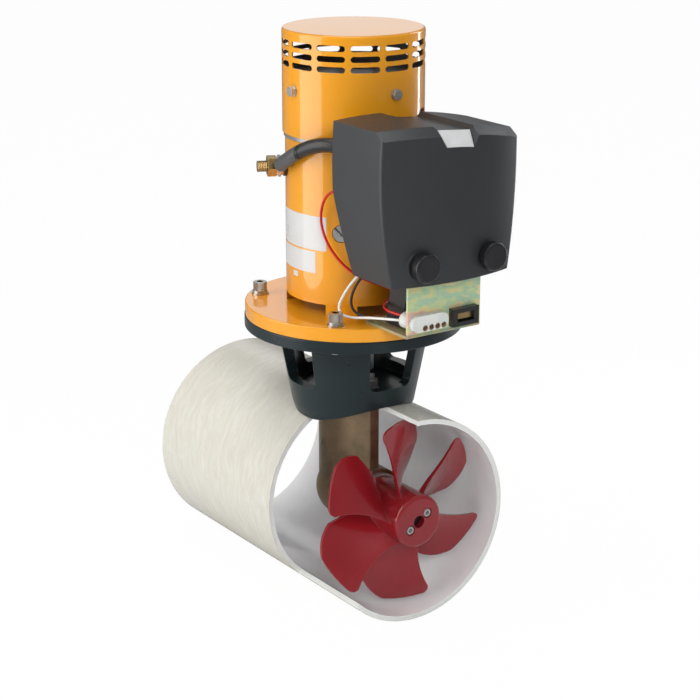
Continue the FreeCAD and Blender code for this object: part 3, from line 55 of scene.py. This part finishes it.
# Places on the solids that the finishes follow, in mm
GELCOAT_TO_EDGE = (92.7, 93.1)          # tunnel radii where its inside gives way to the cut edge
EDGE_TO_WINDING = (96.2, 96.8)          # and the cut edge to the wound outside
TERMINAL_ANGLE = math.radians(156)      # the terminal's direction round the motor, from +X
THREAD_PITCH = 1.5
NUT_FACE = 71.1                         # the nut's inner face, from the motor's axis
BOLT_OFFSET = 88.5 * math.sqrt(0.5)     # x and y of the flange bolts
BOLT_HEAD_BASE, BOLT_HEAD_TOP = 191.7, 199.0
BRACKET_FOOT_TOP = 192.5
SOCKET_FIRST, SOCKET_PITCH, SOCKET_HEIGHT = -21.2, 6.7, 197.0
SOCKET_COUNT = 4
CAP_PAINT_RADIUS, CAP_TOP = 62.9, 439.0
SLEEVE_END, COLLAR_END = -18.5, -22.5   # y on the battery cable
LABEL_RADIUS = 62.03


# ---------------------------------------------------------------- camera and light

def make_camera():
    """The photo's camera. Azimuth 0 looks along +Y."""
    azimuth, elevation = math.radians(-34.68), math.radians(17.60)
    place = Vector((-0.97929, -1.40983, 0.68170))
    data = bpy.data.cameras.new("camera")
    data.lens, data.sensor_width = 99.06, 36.0
    data.clip_start, data.clip_end = 0.05, 40.0
    camera = bpy.data.objects.new("camera", data)
    bpy.context.scene.collection.objects.link(camera)
    level = math.cos(elevation)
    back = Vector((math.sin(azimuth) * level, -math.cos(azimuth) * level, math.sin(elevation)))
    right = Vector((math.cos(azimuth), math.sin(azimuth), 0))
    turn = Matrix((right, back.cross(right), back)).transposed().to_4x4()
    camera.matrix_world = Matrix.Translation(place) @ turn
    bpy.context.scene.camera = camera
    bpy.context.scene.view_settings.view_transform = "Standard"


def area_light(name, place, aim, size, power, color=WHITE, mirrored=True):
    """A rectangular lamp, in metres and watts; mirrored says whether reflections show it."""
    data = bpy.data.lights.new(name, "AREA")
    data.shape, data.size, data.size_y = "RECTANGLE", size[0], size[1]
    data.energy, data.color = power, color
    lamp = bpy.data.objects.new(name, data)
    bpy.context.scene.collection.objects.link(lamp)
    lamp.location = place
    lamp.visible_glossy = mirrored
    lamp.rotation_mode = "QUATERNION"
    lamp.rotation_quaternion = (Vector(place) - Vector(aim)).to_track_quat("Z", "Y")


def make_world():
    """White where it is seen; for light and reflections, a surround that brightens upwards."""
    world = bpy.data.worlds.new("studio")
    bpy.context.scene.world = world
    world.use_nodes = True
    world.node_tree.nodes.clear()
    net = Net(world.node_tree)
    height = net.add("ShaderNodeSeparateXYZ")
    net.link(net.add("ShaderNodeTexCoord").outputs["Generated"], height.inputs[0])
    glow = net.ramp(height.outputs["Z"], [(-0.25, (0.10,) * 3), (0.1, (0.16,) * 3), (0.75, (0.34,) * 3)])
    background = net.add("ShaderNodeBackground")
    net.link(net.mix(net.seen(), glow, WHITE), background.inputs["Color"])
    net.link(background.outputs[0], net.add("ShaderNodeOutputWorld").inputs[0])


def make_light():
    """A tall soft key close on the left, a broad front fill, a thin rim on the right and small helpers."""
    make_world()
    middle, motor = (0, -0.03, 0.2), (0, -0.03, 0.4)
    area_light("key", (-0.86, 0.25, 0.52), motor, (0.72, 1.15), 7.5, (1.0, 0.985, 0.96))
    area_light("fill", (-0.75, -2.1, 1.35), middle, (1.3, 0.9), 23, mirrored=False)
    area_light("rim", (0.92, 0.02, 0.5), motor, (0.10, 1.1), 3, (0.97, 0.985, 1.0))
    area_light("top", (-0.1, 0.2, 2.1), middle, (1.1, 1.1), 13)
    area_light("haze", (0.85, 1.22, 0.78), (0, 0, 0.35), (0.95, 0.40), 0.35)
    area_light("glare", (0.62, 1.02, 0.59), (-0.10, 0.0, 0.19), (0.50, 0.40), 0.30)
    area_light("duct", (-0.12, -0.95, -0.02), (0.03, 0.0, -0.05), (0.30, 0.30), 1.1, mirrored=False)


# ---------------------------------------------------------------- node trees

class Net:
    """Short names for building a node tree."""

    def __init__(self, tree):
        self.tree = tree

    def add(self, kind, **values):
        node = self.tree.nodes.new(kind)
        for key, value in values.items():
            setattr(node, key, value)
        return node

    def link(self, source, target):
        self.tree.links.new(source, target)

    def put(self, socket, value):
        if hasattr(value, "is_output"):
            self.link(value, socket)
        elif isinstance(value, tuple) and len(value) == 3 and len(socket.default_value) == 4:
            socket.default_value = (*value, 1.0)
        else:
            socket.default_value = value

    def math(self, operation, a, b=0.0, clamp=False):
        node = self.add("ShaderNodeMath", operation=operation, use_clamp=clamp)
        self.put(node.inputs[0], a)
        self.put(node.inputs[1], b)
        return node.outputs[0]

    def times(self, a, b):
        return self.math("MULTIPLY", a, b)

    def reverse(self, amount):
        return self.math("SUBTRACT", 1.0, amount)

    def distance(self, a, b):
        return self.math("SQRT", self.math("ADD", self.times(a, a), self.times(b, b)))

    def mix(self, amount, a, b):
        node = self.add("ShaderNodeMix", data_type="RGBA")
        self.put(node.inputs[0], amount)
        self.put(node.inputs[6], a)
        self.put(node.inputs[7], b)
        return node.outputs[2]

    def ramp(self, value, stops):
        """Colours at their places along value; places outside 0 to 1 are brought into it first."""
        node = self.add("ShaderNodeValToRGB")
        spots = node.color_ramp.elements
        low, high = stops[0][0], stops[-1][0]
        if low < 0 or high > 1:
            value = self.scale(value, low, high, 0.0, 1.0)
            stops = [((at - low) / (high - low), color) for at, color in stops]
        while len(spots) < len(stops):
            spots.new(0.5)
        for spot, (at, color) in zip(spots, stops):
            spot.position = at
            spot.color = (*color, 1.0)
        self.put(node.inputs[0], value)
        return node.outputs[0]

    def scale(self, value, low, high, to_low, to_high):
        node = self.add("ShaderNodeMapRange")
        for socket, number in zip(node.inputs, (value, low, high, to_low, to_high)):
            self.put(socket, number)
        return node.outputs[0]

    def fade(self, value, start, end):
        """0 up to start and 1 past end, both in mm; start may be the larger one."""
        return self.scale(value, start * MM, end * MM, 0.0, 1.0)

    def noise(self, where, scale, detail=3.0, rough=0.5):
        node = self.add("ShaderNodeTexNoise")
        self.put(node.inputs["Vector"], where)
        self.put(node.inputs["Scale"], scale)
        self.put(node.inputs["Detail"], detail)
        self.put(node.inputs["Roughness"], rough)
        return node.outputs["Fac"]

    def stretch(self, where, factors):
        node = self.add("ShaderNodeVectorMath", operation="MULTIPLY")
        self.put(node.inputs[0], where)
        node.inputs[1].default_value = factors
        return node.outputs[0]

    def place(self):
        """The shaded point in the piece's own coordinates, as a vector and as x, y and z."""
        where = self.add("ShaderNodeTexCoord").outputs["Object"]
        parts = self.add("ShaderNodeSeparateXYZ")
        self.link(where, parts.inputs[0])
        return where, *parts.outputs

    def seen(self):
        """1 for what the camera sees, directly or through glass."""
        path = self.add("ShaderNodeLightPath")
        return self.math("MAXIMUM", path.outputs["Is Camera Ray"], path.outputs["Is Transmission Ray"])

    def combine(self, x, y, z):
        node = self.add("ShaderNodeCombineXYZ")
        for socket, value in zip(node.inputs, (x, y, z)):
            self.put(socket, value)
        return node.outputs[0]


# ---------------------------------------------------------------- materials

def surface(name, color, rough=0.4, metal=0.0, coat=0.0, vary=0.10, patch=30.0, grain=1500.0, bump=0.03,
            edge=0.25, edge_color=None, bevel=0.5, rough_vary=0.08, dirt=0.12, coat_rough=0.08, **sockets):
    """A procedural finish: patchy colour, fine grain, lighter edges that are partly wear and partly a painted
    highlight, and painted shade darkening the corners.

    patch and grain are noise scales, bump and bevel are in mm, edge and the painted corner shade are
    strengths, and sockets sets further inputs of the shader by name."""
    material = bpy.data.materials.new(name)
    material.use_nodes = True
    shader = material.node_tree.nodes["Principled BSDF"]
    net = Net(material.node_tree)
    where = net.add("ShaderNodeTexCoord").outputs["Object"]
    patches = net.noise(where, patch, 4.0, 0.6)
    fine = net.noise(where, grain, 2.0, 0.5)
    darker = tuple(c * (1 - 1.6 * vary) for c in color)
    lighter = tuple(min(c * (1 + vary), 1.0) for c in color)
    base = net.ramp(patches, [(0.3, darker), (0.55, color), (0.75, lighter)])
    base = net.mix(net.scale(fine, 0.35, 0.75, 0.0, vary), base, tuple(c * 0.6 for c in color))
    soft = net.add("ShaderNodeBevel", samples=4)
    soft.inputs["Radius"].default_value = bevel * MM
    facing = net.add("ShaderNodeVectorMath", operation="DOT_PRODUCT")
    net.link(soft.outputs[0], facing.inputs[0])
    net.link(net.add("ShaderNodeNewGeometry").outputs["Normal"], facing.inputs[1])
    # Lighter edges: partly wear, partly a painted highlight where light would catch the rounded edges.
    turned = net.scale(facing.outputs["Value"], 0.995, 0.86, 0.0, 1.0)
    worn_and_lit_edges = net.math("MULTIPLY", turned, net.scale(patches, 0.35, 0.6, edge * 0.4, edge), clamp=True)
    bright = edge_color or tuple(min(c * 1.5 + 0.05, 1.0) for c in color)
    base = net.mix(worn_and_lit_edges, base, bright)
    # Painted shade: ambient occlusion darkens the colour in corners and recesses.
    if dirt:
        shade = net.add("ShaderNodeAmbientOcclusion", samples=4)
        shade.inputs["Distance"].default_value = 6 * MM
        corner = net.scale(shade.outputs["AO"], 0.35, 0.95, dirt, 0.0)
        base = net.mix(corner, base, tuple(c * 0.35 for c in color))
    net.put(shader.inputs["Base Color"], base)
    shine = net.math("ADD", rough, net.scale(patches, 0.3, 0.7, -rough_vary, rough_vary), clamp=True)
    net.put(shader.inputs["Roughness"], shine)
    net.put(shader.inputs["Metallic"], metal)
    net.put(shader.inputs["Coat Weight"], coat)
    net.put(shader.inputs["Coat Roughness"], coat_rough)
    bumps = net.add("ShaderNodeBump")
    bumps.inputs["Distance"].default_value = bump * MM
    net.link(fine, bumps.inputs["Height"])
    net.link(soft.outputs[0], bumps.inputs["Normal"])
    net.link(bumps.outputs[0], shader.inputs["Normal"])
    for key, value in sockets.items():
        net.put(shader.inputs[key.replace("_", " ")], value)
    return material, net, shader


def plain(name, *args, **kwargs):
    return surface(name, *args, **kwargs)[0]


def paint_over(net, shader, amount, color):
    """Lay a colour over the shader's own colour."""
    base = shader.inputs["Base Color"].links[0].from_socket
    net.put(shader.inputs["Base Color"], net.mix(amount, base, color))


def relief(net, shader, height, depth):
    """Add a relief, depth in mm, over the shader's own bump."""
    bump = net.add("ShaderNodeBump")
    bump.inputs["Distance"].default_value = depth * MM
    net.link(height, bump.inputs["Height"])
    net.link(shader.inputs["Normal"].links[0].from_socket, bump.inputs["Normal"])
    net.link(bump.outputs[0], shader.inputs["Normal"])


def laminate():
    """Glass fibre: cream outside with fibres wound round it, smooth pale gelcoat inside."""
    material, net, shader = surface("laminate", (0.80, 0.79, 0.72), 0.30, coat=0.3, grain=900, bump=0.02,
                                    edge=0.1, dirt=0.05)
    where, x, y, z = net.place()
    radius = net.distance(x, z)
    outside = net.fade(radius, *EDGE_TO_WINDING)
    edge = net.times(net.fade(radius, *GELCOAT_TO_EDGE), net.reverse(outside))

    turn = net.math("ARCTAN2", z, x)
    around, along = net.times(turn, 0.10), net.math("ADD", y, net.times(turn, 0.012))
    wander = net.times(net.noise(where, 26.0, 3.0), 0.030)
    wound = net.combine(around, net.math("ADD", along, wander), wander)
    fibres = net.noise(net.stretch(wound, (34.0, 210.0, 60.0)), 1.0, 6.0, 0.74)
    clouds = net.noise(net.stretch(net.combine(around, along, 0.0), (14.0, 55.0, 1.0)), 1.0, 4.0, 0.6)
    lumps = net.noise(where, 16.0, 2.0)

    cream = net.ramp(fibres, [(0.3, (0.56, 0.54, 0.465)), (0.5, (0.62, 0.605, 0.535)),
                              (0.72, (0.71, 0.695, 0.635))])
    cream = net.mix(net.scale(clouds, 0.35, 0.75, 0.0, 0.6), cream, (0.62, 0.61, 0.56))
    gelcoat = net.ramp(net.noise(where, 45.0, 3.0), [(0.3, (0.91, 0.91, 0.925)), (0.7, (0.955, 0.955, 0.965))])
    net.put(shader.inputs["Base Color"], net.mix(outside, gelcoat, cream))
    paint_over(net, shader, edge, (0.72, 0.74, 0.72))
    net.put(shader.inputs["Roughness"], net.scale(outside, 0.0, 1.0, 0.14, 0.24))
    relief(net, shader, net.math("ADD", net.times(fibres, outside), net.times(lumps, 1.2)), 0.35)
    net.put(shader.inputs["Subsurface Weight"], 0.08)
    net.put(shader.inputs["Subsurface Radius"], (0.006, 0.006, 0.005))
    return material


def passivated():
    """Yellow passivated zinc, which shifts to green and pink across the sheet; its foot lies in shade."""
    material, net, shader = surface("zinc_yellow", (0.55, 0.52, 0.30), 0.40, metal=0.3, grain=2600, bump=0.02,
                                    edge=0.6, edge_color=(0.9, 0.88, 0.72), rough_vary=0.12)
    where, _, _, z = net.place()
    bands = net.noise(net.stretch(where, (1.0, 1.0, 2.4)), 17.0, 5.0, 0.62)
    pink, gold, green = (0.74, 0.46, 0.42), (0.80, 0.68, 0.34), (0.56, 0.70, 0.38)
    teal, straw, rose = (0.40, 0.62, 0.46), (0.78, 0.72, 0.34), (0.74, 0.54, 0.46)
    net.put(shader.inputs["Base Color"], net.ramp(bands, [
        (0.38, pink), (0.44, gold), (0.49, green), (0.53, teal), (0.57, straw), (0.64, rose)]))
    foot = net.fade(z, BRACKET_FOOT_TOP, BRACKET_FOOT_TOP - 1.5)
    paint_over(net, shader, net.times(foot, 0.55), (0.16, 0.13, 0.06))
    return material


def along_terminal(net):
    """Distance from the motor's axis along the terminal's direction."""
    _, x, y, _ = net.place()
    return net.math("ADD", net.times(x, math.cos(TERMINAL_ANGLE)), net.times(y, math.sin(TERMINAL_ANGLE)))


def threaded_brass():
    """Brass stud, with its thread as a relief."""
    material, net, shader = surface("stud_brass", (0.60, 0.43, 0.20), 0.30, metal=1.0, vary=0.2, bevel=0.2)
    thread = net.math("SINE", net.times(along_terminal(net), 2 * math.pi / (THREAD_PITCH * MM)))
    relief(net, shader, thread, 0.35)
    return material


def nut_and_washers():
    """Brass nut; the washers behind it are steel."""
    material, net, shader = surface("nut_brass", (0.68, 0.48, 0.20), 0.28, metal=1.0, vary=0.15, bevel=0.4)
    washers = net.fade(along_terminal(net), NUT_FACE + 0.05, NUT_FACE - 0.05)
    paint_over(net, shader, washers, (0.74, 0.74, 0.73))
    return material


def cap_screw_steel():
    """Zinc plated socket heads: knurled round the side, with painted shade down the socket."""
    material, net, shader = surface("bolt_steel", (0.58, 0.57, 0.54), 0.30, metal=1.0, bevel=0.3)
    _, x, y, z = net.place()
    u = net.math("SUBTRACT", net.math("ABSOLUTE", x), BOLT_OFFSET * MM)
    v = net.math("SUBTRACT", net.math("ABSOLUTE", y), BOLT_OFFSET * MM)
    radius = net.distance(u, v)
    side = net.times(net.fade(radius, 6.2, 6.4), net.fade(z, BOLT_HEAD_BASE - 0.1, BOLT_HEAD_BASE + 0.1))
    knurl = net.math("SINE", net.times(net.math("ARCTAN2", v, u), 36.0))
    relief(net, shader, net.times(knurl, side), 0.35)
    # Painted shade: the inside of each socket is darkened in colour.
    socket_shade = net.times(net.fade(radius, 3.7, 3.5), net.fade(z, BOLT_HEAD_TOP, BOLT_HEAD_TOP - 0.4))
    paint_over(net, shader, socket_shade, (0.02, 0.02, 0.02))
    return material


def socket_shell():
    """Translucent white nylon, tinted brown round the four sockets."""
    material, net, shader = surface("white_plastic", (0.72, 0.72, 0.69), 0.34, grain=1200,
                                    Subsurface_Weight=0.15)
    _, x, _, z = net.place()
    pitch = SOCKET_PITCH * MM
    steps = net.math("DIVIDE", net.math("SUBTRACT", x, SOCKET_FIRST * MM), pitch)
    last = float(SOCKET_COUNT - 1)
    nearest = net.math("ROUND", net.math("MINIMUM", net.math("MAXIMUM", steps, 0.0), last))
    across = net.times(net.math("SUBTRACT", steps, nearest), pitch)
    radius = net.distance(across, net.math("SUBTRACT", z, SOCKET_HEIGHT * MM))
    paint_over(net, shader, net.times(net.fade(radius, 3.3, 2.2), 0.9), (0.16, 0.09, 0.04))
    return material


def yellow_paint(name):
    """Glossy sprayed paint with a slight orange peel."""
    return surface(name, (0.82, 0.335, 0.010), 0.32, coat=0.9, coat_rough=0.03, vary=0.03, patch=12,
                   grain=1100, bump=0.006, edge=0.2, edge_color=(0.9, 0.45, 0.06), bevel=0.8,
                   rough_vary=0.03, Specular_IOR_Level=0.25)


def cap_paint():
    """The cap is painted outside and dull grey inside, which shows through its slots."""
    material, net, shader = yellow_paint("cap_paint")
    _, x, y, z = net.place()
    side = net.fade(net.distance(x, y), CAP_PAINT_RADIUS - 0.2, CAP_PAINT_RADIUS + 0.2)
    top = net.fade(z, CAP_TOP - 0.6, CAP_TOP - 0.2)
    painted = net.math("MAXIMUM", side, top)
    paint_over(net, shader, net.reverse(painted), (0.10, 0.10, 0.10))
    net.put(shader.inputs["Coat Weight"], net.times(painted, 0.9))
    return material


def sleeved_cable():
    """Black battery cable whose first part, up to a collar, is in a grey shrunk sleeve."""
    material, net, shader = surface("cable_rubber", (0.020, 0.020, 0.022), 0.36, grain=900, bump=0.04)
    where, _, y, _ = net.place()
    sleeve = net.fade(y, SLEEVE_END, SLEEVE_END + 0.5)
    collar = net.times(net.fade(y, COLLAR_END, COLLAR_END + 0.5), net.reverse(sleeve))
    paint_over(net, shader, sleeve, (0.075, 0.077, 0.080))
    paint_over(net, shader, collar, (0.008, 0.008, 0.008))
    creases = net.noise(net.stretch(where, (60.0, 300.0, 60.0)), 1.0, 3.0)
    relief(net, shader, net.math("ADD", net.times(creases, sleeve), net.times(collar, 2.0)), 0.6)
    return material


def make_materials():
    """Give every solid its finish, and return the finishes by node name."""
    yellow = yellow_paint("yellow_paint")[0]
    steel = plain("steel", (0.68, 0.68, 0.67), 0.30, metal=0.9, grain=2400, bump=0.02)
    dark_steel = plain("dark_steel", (0.16, 0.16, 0.17), 0.38, metal=1.0, bump=0.03)
    brass = plain("brass", (0.66, 0.47, 0.22), 0.30, metal=1.0, vary=0.2, grain=2400, bump=0.02, edge=0.5)
    black_rubber = plain("black_rubber", (0.022, 0.022, 0.024), 0.42, grain=900, bump=0.04, bevel=0.4)
    knob = plain("knob_plastic", (0.018, 0.018, 0.020), 0.26, vary=0.1, grain=1300, bump=0.02, edge=0.3,
                 edge_color=(0.13, 0.13, 0.135), bevel=1.0)
    finish = {
        "tunnel": laminate(),
        "saddle_gasket": black_rubber,
        "flange_housing": plain("black_casting", (0.009, 0.019, 0.022), 0.34, coat=0.1, vary=0.1, grain=700,
                                bump=0.05, edge=0.35, edge_color=(0.10, 0.13, 0.14), bevel=1.5,
                                Specular_IOR_Level=0.35),
        "motor_flange": yellow, "motor_housing": yellow, "motor_cap": cap_paint(),
        "gear_leg": plain("bronze", (0.30, 0.215, 0.13), 0.38, metal=0.7, vary=0.3, patch=28, grain=650,
                          bump=0.09, edge=0.4, edge_color=(0.5, 0.4, 0.26), bevel=1.2, rough_vary=0.12),
        "propeller": plain("red_plastic", (0.25, 0.010, 0.016), 0.24, coat=0.5, coat_rough=0.06, vary=0.06,
                           patch=24, grain=900, bump=0.012, edge=0.3, edge_color=(0.75, 0.16, 0.16),
                           bevel=1.0, rough_vary=0.03, Subsurface_Weight=0.05),
        "bearing_carrier": plain("machined", (0.62, 0.63, 0.62), 0.32, metal=0.9, grain=1800),
        "control_bracket": passivated(),
        "control_cover": plain("cover_plastic", (0.031, 0.033, 0.037), 0.40, vary=0.05, patch=18, grain=3200,
                               bump=0.035, edge=0.4, edge_color=(0.16, 0.17, 0.175), bevel=1.2,
                               rough_vary=0.03),
        "knob_left": knob, "knob_right": knob,
        "badge_plate": plain("badge", (0.88, 0.885, 0.89), 0.36, metal=0.4, grain=2800, bump=0.02),
        "control_socket": socket_shell(),
        "fuse_holder": plain("holder_plastic", (0.018, 0.018, 0.020), 0.32, coat=0.2),
        "fuse": brass, "socket_pins": brass, "bracket_screws": brass,
        "terminal_stud": threaded_brass(), "terminal_nuts": nut_and_washers(),
        "flange_bolts": cap_screw_steel(),
        "cable_lug": plain("copper", (0.74, 0.46, 0.30), 0.35, metal=1.0, vary=0.2),
        "contactor_body": plain("block_plastic", (0.016, 0.016, 0.018), 0.36),
        "coupling_spider": plain("spider_rubber", (0.42, 0.10, 0.02), 0.5),
        "brush_frame": plain("cast_aluminium", (0.42, 0.42, 0.42), 0.42, metal=0.9, grain=800, bump=0.08),
        "lower_end_shield": plain("end_shield", (0.40, 0.40, 0.40), 0.42, metal=0.9, grain=800, bump=0.08),
        "brushes": plain("carbon", (0.02, 0.02, 0.022), 0.5),
        "field_coils": plain("varnished_copper", (0.35, 0.13, 0.06), 0.35, metal=0.7),
        "armature_windings": plain("windings", (0.42, 0.17, 0.08), 0.32, metal=0.8),
        "shaft_seals": black_rubber, "motor_cable": sleeved_cable(), "black_wire": black_rubber,
        "terminal_bush": plain("bush", (0.018, 0.018, 0.018), 0.45),
        "red_wire": plain("red_sheath", (0.62, 0.008, 0.008), 0.30, vary=0.1),
        "white_wire": plain("white_sheath", (0.84, 0.84, 0.80), 0.34, vary=0.05),
    }
    for iron in ("propeller_shaft", "pole_shoes", "armature_core", "coupling_upper", "coupling_lower"):
        finish[iron] = dark_steel
    for node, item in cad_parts.items():
        item.data.materials.clear()
        item.data.materials.append(finish.get(node, steel))
    return finish


# ---------------------------------------------------------------- cords

# Diameter in mm, stiffness, length in metres, and the route's points in mm
CORDS = {
    "red_wire": (2.4, "limp", 0.2461, [
        (-37.5, -92, 291), (-46, -86, 299), (-52.5, -71, 307), (-56.5, -53, 308), (-58.5, -38, 297),
        (-59, -33, 277), (-56, -38.5, 257), (-48.5, -49, 240), (-36, -57.5, 227.5), (-23, -62, 220.5),
        (-11.1, -64.5, 216), (-6.2, -73, 213), (-11.1, -81.5, 210.5), (-21, -82.5, 208.5), (-29, -88, 206.5),
        (-32.5, -97.5, 205), (-31, -108, 204.3), (-28, -118.3, 204)]),
    "white_wire": (2.4, "limp", 0.1427, [
        (-25.2, -81.6, 256), (-31, -71, 241), (-42, -60, 225), (-49, -53.5, 210), (-53, -52.5, 200),
        (-52, -57, 194), (-48, -67, 193), (-42, -80, 195.5), (-38.5, -93, 197.5), (-34, -106, 199),
        (-29, -118.3, 200)]),
    "black_wire": (2.4, "limp", 0.1278, [
        (-19.5, -80.9, 252), (-28, -71, 239), (-38, -62.5, 225), (-43.5, -58.5, 210), (-44, -60.5, 199.5),
        (-41, -68, 194.5), (-38, -79, 194.5), (-33.5, -92, 195.5), (-28.5, -106, 197.5), (-21, -118.3, 199)]),
    "motor_cable": (13.0, "stiff", 0.1295, [
        (-69.1, 14.4, 319.5), (-71, 1, 326.5), (-70.8, -15.5, 335.5), (-67, -32, 343.5), (-59.5, -49.5, 347.5),
        (-49.6, -65.5, 344), (-38, -78.3, 335), (-26.2, -87.1, 322.4)]),
}


def make_cords(finish):
    """Each wire and cable as a round curve along its route."""
    for node, (diameter, stiffness, length, points) in CORDS.items():
        curve = bpy.data.curves.new(node + "_line", "CURVE")
        curve.dimensions = "3D"
        curve.bevel_depth = diameter / 2 * MM
        curve.bevel_resolution = 5
        curve.use_fill_caps = True
        curve.resolution_u = 12
        spline = curve.splines.new("NURBS")
        spline.points.add(len(points) - 1)
        for point, place in zip(spline.points, points):
            point.co = (*(c * MM for c in place), 1.0)
        spline.order_u = 3
        spline.use_endpoint_u = True
        item = bpy.data.objects.new(node + "_cord", curve)
        bpy.context.scene.collection.objects.link(item)
        curve.materials.append(finish[node])
        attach(item, "frame")
        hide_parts(node)


# ---------------------------------------------------------------- labels and floor

# Angles in degrees from -Y towards -X, and heights in mm
LABELS = {
    "label_main": ((57.6, 122.7), (247, 278)),
    "label_lower": ((68, 122), (225.5, 245.5)),
    "label_tag": ((88.5, 95.5), (218.5, 223.5)),
}


def curved_label(name, azimuths, heights, material, steps=24):
    """A bare film label bent round the motor."""
    verts = []
    for i in range(steps + 1):
        azimuth = math.radians(azimuths[0] + (azimuths[1] - azimuths[0]) * i / steps)
        x, y = -math.sin(azimuth) * LABEL_RADIUS, -math.cos(azimuth) * LABEL_RADIUS
        verts += [(x * MM, y * MM, z * MM) for z in heights]
    faces = [(2 * i, 2 * i + 1, 2 * i + 3, 2 * i + 2) for i in range(steps)]
    mesh = bpy.data.meshes.new(name)
    mesh.from_pydata(verts, [], faces)
    mesh.update()
    mesh.materials.append(material)
    mesh.shade_smooth()
    label = bpy.data.objects.new(name, mesh)
    bpy.context.scene.collection.objects.link(label)
    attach(label, "frame")


def make_labels():
    film = plain("label_film", (0.62, 0.62, 0.62), 0.34, coat=0.2, vary=0.03, dirt=0.0, edge=0.0)
    for name, (azimuths, heights) in LABELS.items():
        curved_label(name, azimuths, heights, film)


def make_floor():
    """A pale floor just under the object, nearly white to the camera and greyer in reflections."""
    radius, gap, whiteness = 14.0, 0.5 * MM, 0.975
    material = bpy.data.materials.new("floor")
    material.use_nodes = True
    shader = material.node_tree.nodes["Principled BSDF"]
    net = Net(material.node_tree)
    where = net.add("ShaderNodeTexCoord").outputs["Object"]
    mirrored = net.add("ShaderNodeLightPath").outputs["Is Glossy Ray"]
    pale = net.ramp(net.noise(where, 3.0), [(0.3, (0.93,) * 3), (0.7, (0.95,) * 3)])
    net.put(shader.inputs["Base Color"], net.mix(mirrored, pale, (0.50, 0.50, 0.505)))
    net.put(shader.inputs["Roughness"], 0.9)
    both = net.add("ShaderNodeMixShader")
    net.put(both.inputs[0], net.times(net.seen(), whiteness))
    net.link(shader.outputs[0], both.inputs[1])
    net.link(net.add("ShaderNodeEmission").outputs[0], both.inputs[2])
    net.link(both.outputs[0], net.tree.nodes["Material Output"].inputs["Surface"])
    bpy.ops.mesh.primitive_circle_add(vertices=96, radius=radius, fill_type="NGON",
                                      location=(0, 0, cad_box[0].z - gap))
    floor = bpy.context.object
    floor.name = "floor"
    floor.data.materials.append(material)


make_camera()
finish = make_materials()
make_cords(finish)
make_light()
make_labels()
make_floor()
